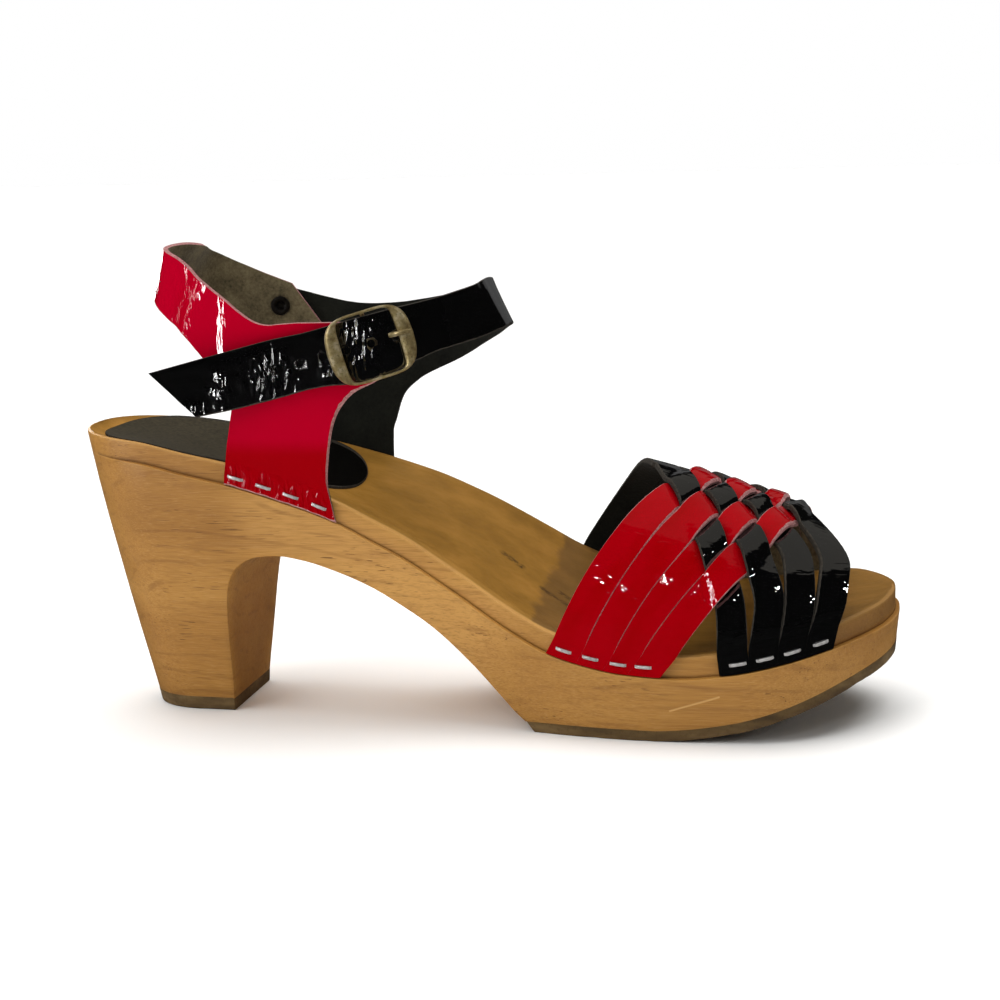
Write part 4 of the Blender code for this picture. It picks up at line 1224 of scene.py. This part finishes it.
def part_strips(strips, places):
    """Keep neighbours of one colour apart by a slit that closes near the seats."""
    opening = np.array([1 - SLIT_CLOSED * ease(SLIT_END - SLIT_FADE, SLIT_END, abs(q)) for q in places])
    for strip, following in zip(strips, strips[1:]):
        middle = (strip.front + following.rear) / 2
        touching = strip.front > following.rear - SLIT * opening
        strip.front = np.where(touching, middle - SLIT / 2 * opening, strip.front)
        following.rear = np.where(touching, middle + SLIT / 2 * opening, following.rear)


def lift_of(place, row, number, others, sign):
    """How far a strip is raised at a point, by the strips that it crosses there."""
    total, share = 0.0, 0.0
    for k, other in enumerate(others):
        away = abs(place - other.middle[row]) / other.half[row]
        near = 1 - ease(*CROSSING, away)
        over = sign if (number + k) % 2 else -sign
        total += near * over * STRIP_RAISE
        if over > 0:
            total += STRIP_CROWN * max(0.0, 1 - away * away)
        share += near
    return total / max(share, 1.0)


def cut_columns(width, first_cut, last_cut, count):
    """Places of the columns across a strip, and how far each drops at the cut edges."""
    inner = np.linspace(first_cut, width - last_cut, count - 2)
    drops = np.zeros(count)
    drops[0], drops[-1] = CUT_SLOPE * first_cut, CUT_SLOPE * last_cut
    return np.concatenate(([0.0], inner, [width])), drops


def make_vamp():
    """Four red and four black strips woven over and under each other."""
    places = np.linspace(-1.0, 1.0, STRIP_ROWS)
    reds = [Strip(row, RED_STRIP, places) for row in RED_PATHS]
    blacks = [Strip(row, BLACK_STRIP, places) for row in BLACK_PATHS]
    part_strips(reds, places)
    part_strips(blacks, places)
    for group, others, sign, cut, name, finishes in (
            (reds, blacks, 1, RED_CUT, "clog_vamp_red", [RED_WEAVE, RED_EDGE, RED_FLESH]),
            (blacks, reds, -1, BLACK_CUT, "clog_vamp_black", [BLACK_PATENT, BLACK_EDGE, BLACK_FLESH])):
        leather = Leather()
        rear_cut, front_cut, *closing = cut
        for number, strip in enumerate(group):
            outside, inside, along, across, lifts, frames, drops = [], [], [], [], [], [], []
            for i, q in enumerate(places):
                bare = 1 - CUT_LOSS * ease(*closing, abs(q))
                bare *= 1 - SEAT_CUT_LOSS * ease(*SEAT_CUT, abs(q))
                bare *= 1 + CUT_UNEVEN * wobble(CUT_WAVES * q + CUT_SHIFT * number)
                width = strip.front[i] - strip.rear[i]
                columns, drop = cut_columns(width, rear_cut * bare, front_cut * bare, STRIP_COLUMNS)
                xs = strip.rear[i] + columns
                seat = 1 - ease(*VAMP_FLAT, abs(q))
                lifts.append([seat * lift_of(x, i, number, others, sign) for x in xs])
                frames.append([vamp_frame(x, q) for x in xs])
                drops.append(drop)
                along.append([q * GIRTH_HALF + STRIP_OFFSET * number] * STRIP_COLUMNS)
                across.append(list(columns))
            reach = len(LIFT_BLUR) // 2
            padded = np.pad(np.array(lifts), ((reach, reach), (0, 0)), mode="edge")
            lifts = sum(share * padded[k:k + STRIP_ROWS] for k, share in enumerate(LIFT_BLUR))
            for row, lift, drop in zip(frames, lifts, drops):
                outside.append([p + n * (d + STRIP_THICK / 2 - c) for (p, n), d, c in zip(row, lift, drop)])
                inside.append([p + n * (d - STRIP_THICK / 2) for (p, n), d in zip(row, lift)])
            leather.add(outside, inside, along, across, [[STRIP_CREASE] * STRIP_COLUMNS for _ in places])
        stands_for(leather.finish(name, finishes), "woven_patent", "vamp")


def ring_plan(turn, z):
    """A point of the ankle oval; turn 0 is the outer side, a quarter turn on is the back."""
    s, c = math.sin(turn), math.cos(turn)
    long, lean = (RING_BACK, BACK_LEAN) if s > 0 else (RING_FRONT, FRONT_LEAN)
    reach = long * abs(s) ** RING_POWER - lean * (z - RING_LEVEL) * abs(s) ** LEAN_POWER
    half = RING_OUTER if c > 0 else RING_INNER
    return np.array([RING_X - math.copysign(reach, s), -half * signed_power(c, RING_POWER)])


RING_TURNS = [math.radians(a) for a in range(-270, 271, 2)]
RING_PLAN = [ring_plan(t, RING_LEVEL) for t in RING_TURNS]
RING_STEPS = [float(np.linalg.norm(b - a)) for a, b in zip(RING_PLAN, RING_PLAN[1:])]
RING_LENGTHS = np.concatenate(([0.0], np.cumsum(RING_STEPS)))
RING_LENGTHS -= RING_LENGTHS[RING_TURNS.index(0.0)]


def ring_form(place, z):
    """A point of the ankle form at a distance round the oval and a height."""
    turn = float(np.interp(place, RING_LENGTHS, RING_TURNS))
    x, y = ring_plan(turn, z)
    if z < QUARTER_BLEND_TOP and QUARTER_BLEND[0] < x < QUARTER_BLEND[1]:
        side, away = (0, -1) if math.cos(turn) > 0 else (1, 1)
        seat = wall_edges(x)[side] + away * GAP
        share = ease(rim_height(x, seat), QUARTER_BLEND_TOP, z)
        y = seat + (y - seat) * share
    return np.array([x, y, z])


def strap_form(place, z):
    """The ankle form with the strap end running on straight behind the buckle."""
    if place <= TAIL_STRAIGHT_FROM:
        return ring_form(place, z)
    start = ring_form(TAIL_STRAIGHT_FROM, RING_LEVEL)
    before = ring_form(TAIL_STRAIGHT_FROM - 1, RING_LEVEL)
    point = start + (place - TAIL_STRAIGHT_FROM) * (start - before)
    return np.array([point[0], point[1], z])


def form_normal(form, place, z):
    """The direction out of a form."""
    along = form(place + SMALL_STEP, z) - form(place - SMALL_STEP, z)
    upward = form(place, z + SMALL_STEP) - form(place, z - SMALL_STEP)
    return unit(np.cross(upward, along))


def form_point(form, place, z, out):
    """A point at a distance outside a form."""
    return form(place, z) + out * form_normal(form, place, z)


def ledge_height(form, place):
    """Height of the sole's ledge under a place round the ankle."""
    x, y, _ = form(place, LEDGE_LOOK_UP)
    return rim_height(x, y) - RABBET_HEIGHT + GAP


def crease_height(creases, place, z):
    """Ridges and troughs worn into a strap."""
    total = 0.0
    for at, lean, width, height in creases:
        away = (place - at + lean * (z - RING_LEVEL)) / width
        total += height * math.exp(-away * away)
    return total


def strap_dip(form, place, z):
    """The strap's edges tuck in behind the rails of the buckle."""
    if form is ring_form:
        return 0.0
    depth, begin, reach = STRAP_TUCK
    across = (z - BUCKLE_HEIGHT + BUCKLE_SLOPE * (place - BUCKLE_AT)) / (BUCKLE_WIDE / 2)
    return depth * max(0.0, abs(across) - begin) * math.exp(-((place - BUCKLE_AT) / reach) ** 4)


def wrinkling(own, patches, place, z, up):
    """How creased the skin of a strap is: its own share, puckers along the staples and worn patches."""
    total = own[0] + own[1] * (1 - ease(*SKIN_FADE, up))
    for share, middle, height, half_long, half_high, lean in patches:
        along = (place + lean * (z - height) - middle) / half_long
        total += share * math.exp(-along ** 2 - ((z - height) / half_high) ** 2)
    return total


def make_band(name, table, form, creases, own, patches, raw_edge, finishes):
    """A leather piece laid on a form, creased and wrinkled, with a raw low edge."""
    rows = [(r[0], r[1] or ledge_height(form, r[0]), *r[2:]) for r in table]
    columns = [curve([(k, row[c]) for k, row in enumerate(rows)]) for c in range(5)]
    narrow, gain = raw_edge
    leather = Leather()
    outside, inside, along, across, crease = [], [], [], [], []
    for k in range(BAND_PARTS * (len(rows) - 1) + 1):
        spot = k / BAND_PARTS
        low_at, low_z, high_at, high_z, out = (column(spot) for column in columns)
        if table[math.floor(spot)][1] == 0 and table[math.ceil(spot)][1] == 0:
            low_z = ledge_height(form, low_at)
        length = math.hypot(high_at - low_at, high_z - low_z)
        cut = narrow + gain * (ease(*FRONT_ROWS[:2], spot) - ease(*FRONT_ROWS[2:], spot))
        cut *= 1 + CUT_UNEVEN * wobble(BAND_CUT_WAVES * spot)
        steps, drops = cut_columns(length, cut, HIGH_RAW_EDGE, BAND_COLUMNS)
        places = list(low_at + (high_at - low_at) * steps / length)
        heights = list(low_z + (high_z - low_z) * steps / length)
        near, far, worn = [], [], []
        for place, z, drop in zip(places, heights, drops):
            point, normal = form(place, z), form_normal(form, place, z)
            up = z - ledge_height(form, place)
            lift = out + crease_height(creases, place, z) * ease(*CREASE_START, up)
            lift -= strap_dip(form, place, z)
            lift += PUCKER * wobble(PUCKER_WAVES * place) * (1 - ease(*PUCKER_FADE, up))
            near.append(point + normal * (lift + LEATHER - BAND_THICK))
            far.append(point + normal * (lift + LEATHER - drop))
            worn.append(wrinkling(own, patches, place, z, up))
        outside.append(far)
        inside.append(near)
        along.append(places)
        across.append(heights)
        crease.append(worn)
    leather.add(outside, inside, along, across, crease)
    return leather.finish(name, finishes)


def hole_shapes():
    """Round punches for the strap's holes."""
    lean = math.atan(BUCKLE_SLOPE)
    shapes = []
    for k in range(HOLE_COUNT):
        forward = PRONG_HOLE_AT - k * HOLE_SPACING
        place = BUCKLE_AT - forward * math.cos(lean)
        z = BUCKLE_HEIGHT + forward * math.sin(lean) + HOLE_ACROSS
        out = form_normal(strap_form, place, z)
        centre = form_point(strap_form, place, z, np.interp(place, BLACK_PLACES, BLACK_OUTS) + LEATHER)
        side = np.cross(UP, out)
        shapes.append(skin([[centre + HOLE_RADIUS * (side * c + UP * s) + out * depth
                             for c, s in circle(HOLE_SIDES)] for depth in (-HOLE_DEPTH, PUNCH_OUT)]))
    return shapes


def make_quarters():
    """Red quarter with the heel strap, and black quarter with the ankle strap and its punched holes."""
    red = make_band("clog_quarter_red", RED_QUARTER, ring_form, RED_CREASES, RED_SKIN, RED_WRINKLES,
                    RED_RAW_EDGE, [RED_PATENT, RED_EDGE, RED_FLESH])
    stands_for(red, "red_patent", "quarter_red")
    black = make_band("clog_quarter_black", BLACK_QUARTER, strap_form, BLACK_CREASES, BLACK_SKIN,
                      BLACK_WRINKLES, BLACK_RAW_EDGE, [BLACK_PATENT, BLACK_EDGE, BLACK_FLESH])
    stands_for(black, "black_patent", "quarter_black")
    # The punch leaves black patent floors in the holes, as painted shade
    punch = add_piece("hole_punch", *joined(hole_shapes()), [BLACK_PATENT])
    holes = black.modifiers.new("holes", "BOOLEAN")
    holes.operation = "DIFFERENCE"
    holes.object = punch
    worked = black.evaluated_get(bpy.context.evaluated_depsgraph_get())
    black.data = bpy.data.meshes.new_from_object(worked)
    black.modifiers.clear()
    bpy.data.objects.remove(punch)


def make_sock():
    """The bare black pad under the heel."""
    middle = (SOCK_BACK + SOCK_FRONT) / 2
    leather = Leather()
    outside, inside, along, across = [], [], [], []
    for turn in SOCK_TURNS:
        x = middle - (SOCK_FRONT - SOCK_BACK) / 2 * math.cos(turn)
        back = round_end(HEEL_ROUND - x, 0, HEEL_ROUND - SOCK_BACK, HEEL_POWER)
        front = round_end(x, SOCK_TIP, SOCK_FRONT, HEEL_POWER)
        half = (SOCK_HALF - SOCK_WAIST * ease(*SOCK_NARROWS, x)) * back * front
        wider = SOCK_INNER * (1 - ease(*SOCK_INNER_ENDS, x)) * min(1.0, half / SOCK_END_HALF)
        outer, inner = SOCK_MIDDLE - half, SOCK_MIDDLE + half + wider
        ys = [outer + (inner - outer) * j / (SOCK_COLUMNS - 1) for j in range(SOCK_COLUMNS)]
        beds = [footbed_height(x, y) for y in ys]
        outside.append([np.array([x, y, z + SOCK_PROUD]) for y, z in zip(ys, beds)])
        inside.append([np.array([x, y, z - BED_STEP - SOCK_SUNK]) for y, z in zip(ys, beds)])
        along.append([x] * SOCK_COLUMNS)
        across.append(ys)
    leather.add(outside, inside, along, across, [[0.0] * SOCK_COLUMNS for _ in SOCK_TURNS])
    piece = leather.finish("clog_heel_sock", [SOCK_TOP, SOCK_EDGE, SOCK_EDGE])
    round_edges(piece, SOCK_ROUND)
    stands_for(piece, "black_sock", "heel_sock")


# Buckle, rivet and staples

def buckle_axes():
    """Centre of the buckle's back face, and its directions along, across and out."""
    forward, centre, back = (form_point(strap_form, BUCKLE_AT + shift, BUCKLE_HEIGHT, BUCKLE_OUT)
                             for shift in (-5, 0, 5))
    along = unit(unit(forward - back) + BUCKLE_SLOPE * UP)
    out = unit(np.cross(along, UP))
    return centre, along, np.cross(out, along), out


def buckle_point(axes, u, v, n):
    """A point given along, across and out from the buckle's back face."""
    centre, along, across, out = axes
    return centre + along * u + across * v + out * n


def buckle_ring(half_long, half_wide, bow, square):
    """A rounded rectangle with bowed short sides; the smaller square is, the sharper its corners."""
    ring = []
    for c, s in circle(BUCKLE_SIDES):
        u = half_long * signed_power(c, square)
        v = half_wide * signed_power(s, square)
        ring.append(np.array([u + math.copysign(bow, u) * (1 - (v / half_wide) ** 2), v]))
    return ring


def make_buckle():
    """Brass frame with broad bowed ends, its centre bar and the prong."""
    axes = buckle_axes()
    _, along, across, out = axes
    half_long = BUCKLE_LONG / 2 - BUCKLE_SIDE_BAR
    outside = buckle_ring(BUCKLE_LONG / 2 - BUCKLE_BOW, BUCKLE_WIDE / 2, BUCKLE_BOW, OUTER_SQUARE)
    inside = buckle_ring(half_long, BUCKLE_WIDE / 2 - BUCKLE_RAIL, INNER_BOW, INNER_SQUARE)
    dent_depth, dent_half = PRONG_DENT
    loops = []
    for share, n in BUCKLE_PROFILE:
        loop = []
        for a, b in zip(outside, inside):
            u, v = a + (b - a) * share
            dent = dent_depth * math.exp(-((v - PRONG_ACROSS) / dent_half) ** 2) if u > 0 and n > 1 else 0.0
            thick = BUCKLE_THICK * (1 - RAIL_THIN * max(0.0, 1 - (u / half_long) ** 2))
            loop.append(buckle_point(axes, u, v, n * thick / 2 - dent))
        loops.append(loop)
    edge = BUCKLE_WIDE / 2 - BAR_RADIUS
    drop = BAR_RADIUS - BAR_DROP
    route = [(edge, BAR_TOP), (edge, drop + BAR_TURN), (edge - BAR_TURN, drop)]
    route = [(-v, n) for v, n in route] + route[::-1]
    path = [buckle_point(axes, 0.0, v, n) for v, n in route]
    sections = [(along * BAR_RADIUS, (across * a + out * b) * BAR_RADIUS * BAR_FLAT) for a, b in BAR_LEANS]
    points, faces = joined([skin(loops, ring=True), sweep(path, sections, BAR_SIDES)])
    piece = add_piece("clog_buckle_frame", points, faces, [BRASS], flat_over=60)
    stands_for(piece, "old_brass", "buckle_frame")
    path = [buckle_point(axes, u, PRONG_ACROSS, n) for u, n, _ in PRONG_ROUTE]
    run = np.gradient(np.array([row[:2] for row in PRONG_ROUTE]), axis=0)
    run /= np.linalg.norm(run, axis=1)[:, None]
    sections = [(across * w, (out * du - along * dn) * PRONG_FLAT * (w + PRONG_EXTRA))
                for (_, _, w), (du, dn) in zip(PRONG_ROUTE, run)]
    prong = add_piece("clog_buckle_prong", *sweep(path, sections, PRONG_SIDES), [BRASS], flat_over=60)
    stands_for(prong, "old_brass", "buckle_prong")


def make_rivet():
    """A tubular rivet: a rolled ring inside the heel strap and a low dome outside."""
    centre = form_point(ring_form, RIVET_AT, RIVET_HEIGHT, 0.0)
    out = form_normal(ring_form, RIVET_AT, RIVET_HEIGHT)
    side = unit(np.cross(UP, out))
    up = np.cross(out, side)
    profile = [(radius, RIVET_INNER_FACE + n) for radius, n in RIVET_RING]
    profile += [(radius, RIVET_OUTER_FACE + n) for radius, n in RIVET_DOME]
    loops = [[centre + out * n + radius * (side * c + up * s) for c, s in circle(RIVET_SIDES)]
             for radius, n in profile]
    stands_for(add_piece("clog_rivet", *skin(loops), [RIVET_METAL]), "dark_metal", "rivet")


def staple(centre, run, out):
    """One wire staple: its crown lies on the leather and its ends go in."""
    half = STAPLE_LONG / 2
    route = [(start - half, n, a, b) for start, n, a, b in STAPLE_END]
    route += [(0.0, STAPLE_PROUD, 0.0, 1.0)] + [(-u, n, -a, b) for u, n, a, b in route[::-1]]
    run = unit(run)
    wide = np.cross(out, run)
    path = [centre + run * u + out * n for u, n, _, _ in route]
    sections = [(wide * STAPLE_WIDE / 2, (run * a + out * b) * STAPLE_HALF_THICK) for _, _, a, b in route]
    return sweep(path, sections, STAPLE_SIDES)


def vamp_staple(x, side):
    """A staple near the seat of a vamp strip."""
    q = (STAPLE_UP / GIRTH_HALF - 1) * (1 if side == 0 else -1)
    point, out = vamp_frame(x, q)
    run = vamp_form(x + 1, q) - vamp_form(x - 1, q)
    return staple(point + out * STRIP_THICK / 2, run, out)


def quarter_staple(form, place):
    """A staple near the seat of a quarter."""
    before, z, after = (ledge_height(form, place + shift) + STAPLE_UP for shift in (-1, 0, 1))
    run = form(place + 1, after) - form(place - 1, before)
    return staple(form_point(form, place, z, LEATHER), run, form_normal(form, place, z))


def make_staples():
    """Rows of staples that fix the leather to the wood on both sides."""
    shapes = [vamp_staple(x, 0) for x in OUTER_VAMP_STAPLES]
    shapes += [vamp_staple(x, 1) for x in INNER_VAMP_STAPLES]
    shapes += [quarter_staple(ring_form, place) for place in RED_QUARTER_STAPLES]
    shapes += [quarter_staple(strap_form, place) for place in BLACK_QUARTER_STAPLES]
    add_piece("clog_staples", *joined(shapes), [STAPLE_METAL], flat_over=60)


# Stage, light and camera

def make_stage():
    """Plain pale floor in a soft room that is paler to look at than it is bright."""
    mesh = bpy.data.meshes.new("floor")
    corners = [(-1, -1), (1, -1), (1, 1), (-1, 1)]
    mesh.from_pydata([(x * FLOOR_REACH, y * FLOOR_REACH, 0) for x, y in corners], [], [(0, 1, 2, 3)])
    floor = put("floor", mesh)
    finish = Finish("pale_floor", Roughness=0.9, Specular_IOR_Level=0.1)
    sockets = {0: finish.step("LightPath", {}, "Is Glossy Ray"), 6: FLOOR_COLOR, 7: FLOOR_MIRRORED}
    finish.set("Base Color", finish.step("Mix", sockets, 2, data_type="RGBA"))
    mesh.materials.append(finish.material)
    world = bpy.data.worlds.new("soft_room")
    world.use_nodes = True
    room = Nodes(world.node_tree)
    lighting, looking = (room.step("LightPath", {}, ray) for ray in ("Is Diffuse Ray", "Is Camera Ray"))
    glow = room.step("MapRange", {"Value": lighting, "To Min": ROOM_MIRRORED, "To Max": ROOM_LIGHT})
    lit = room.step("Background", {"Color": ROOM_COLOR, "Strength": glow})
    seen = room.step("Background", {"Color": FLOOR_FAR})
    both = room.step("MixShader", {0: looking, 1: lit, 2: seen})
    room.feed(world.node_tree.nodes["World Output"].inputs["Surface"], both)
    bpy.context.scene.world = world
    bpy.context.scene.view_settings.view_transform = "Standard"


def add_light(name, azimuth, elevation, distance, wide, tall, power):
    """A soft rectangular light, at an angle round from the outer side towards the toe and an angle up."""
    turn, rise = math.radians(azimuth), math.radians(elevation)
    away = Vector((math.sin(turn) * math.cos(rise), -math.cos(turn) * math.cos(rise), math.sin(rise)))
    lamp = bpy.data.lights.new(name, "AREA")
    lamp.shape = "RECTANGLE"
    lamp.size = wide
    lamp.size_y = tall
    lamp.energy = power
    light = put(name, lamp)
    light.location = Vector(LIGHT_AIM) + away * distance
    light.rotation_euler = away.to_track_quat("Z", "Y").to_euler()
    return light


def add_sun(name, strength, spread, lean):
    """A wide soft light from high up, leaning towards the far side by a slope."""
    lamp = bpy.data.lights.new(name, "SUN")
    lamp.energy = strength
    lamp.angle = math.radians(spread)
    light = put(name, lamp)
    light.rotation_euler = Vector((0.0, -lean, -1.0)).to_track_quat("-Z", "Y").to_euler()
    return light


def make_lights():
    """Soft light from above and from the left, windows and small lamps that sparkle in the patent."""
    add_sun("overhead", *OVERHEAD).visible_glossy = False
    add_sun("ceiling", *CEILING).data.color = CEILING_COLOR
    add_light("left_fill", *LEFT_FILL).visible_glossy = False
    for name, sizes in WINDOWS.items():
        add_light(name, *sizes).visible_diffuse = False
    for k, angles in enumerate(SPARKLES):
        add_light("sparkle_%d" % k, *angles, *SPARKLE_LAMP)


def make_camera():
    """The camera at the photo's angle to the shoe."""
    data = bpy.data.cameras.new("camera")
    data.sensor_width = CAMERA_SENSOR
    data.lens = CAMERA_LENS
    data.clip_start = CAMERA_NEAR
    camera = put("camera", data)
    place, aim = (Vector((np.array(point) + SHIFT) * MM) for point in (CAMERA_AT, CAMERA_AIM))
    turn = (aim - place).to_track_quat("-Z", "Y").to_matrix()
    turn = turn @ Matrix.Rotation(math.radians(CAMERA_ROLL), 3, "Z")
    camera.matrix_world = Matrix.Translation(place) @ turn.to_4x4()
    bpy.context.scene.camera = camera


make_camera()
make_stage()
make_lights()
make_wood()
make_rubber()
make_sock()
make_vamp()
make_quarters()
make_buckle()
make_rivet()
make_staples()
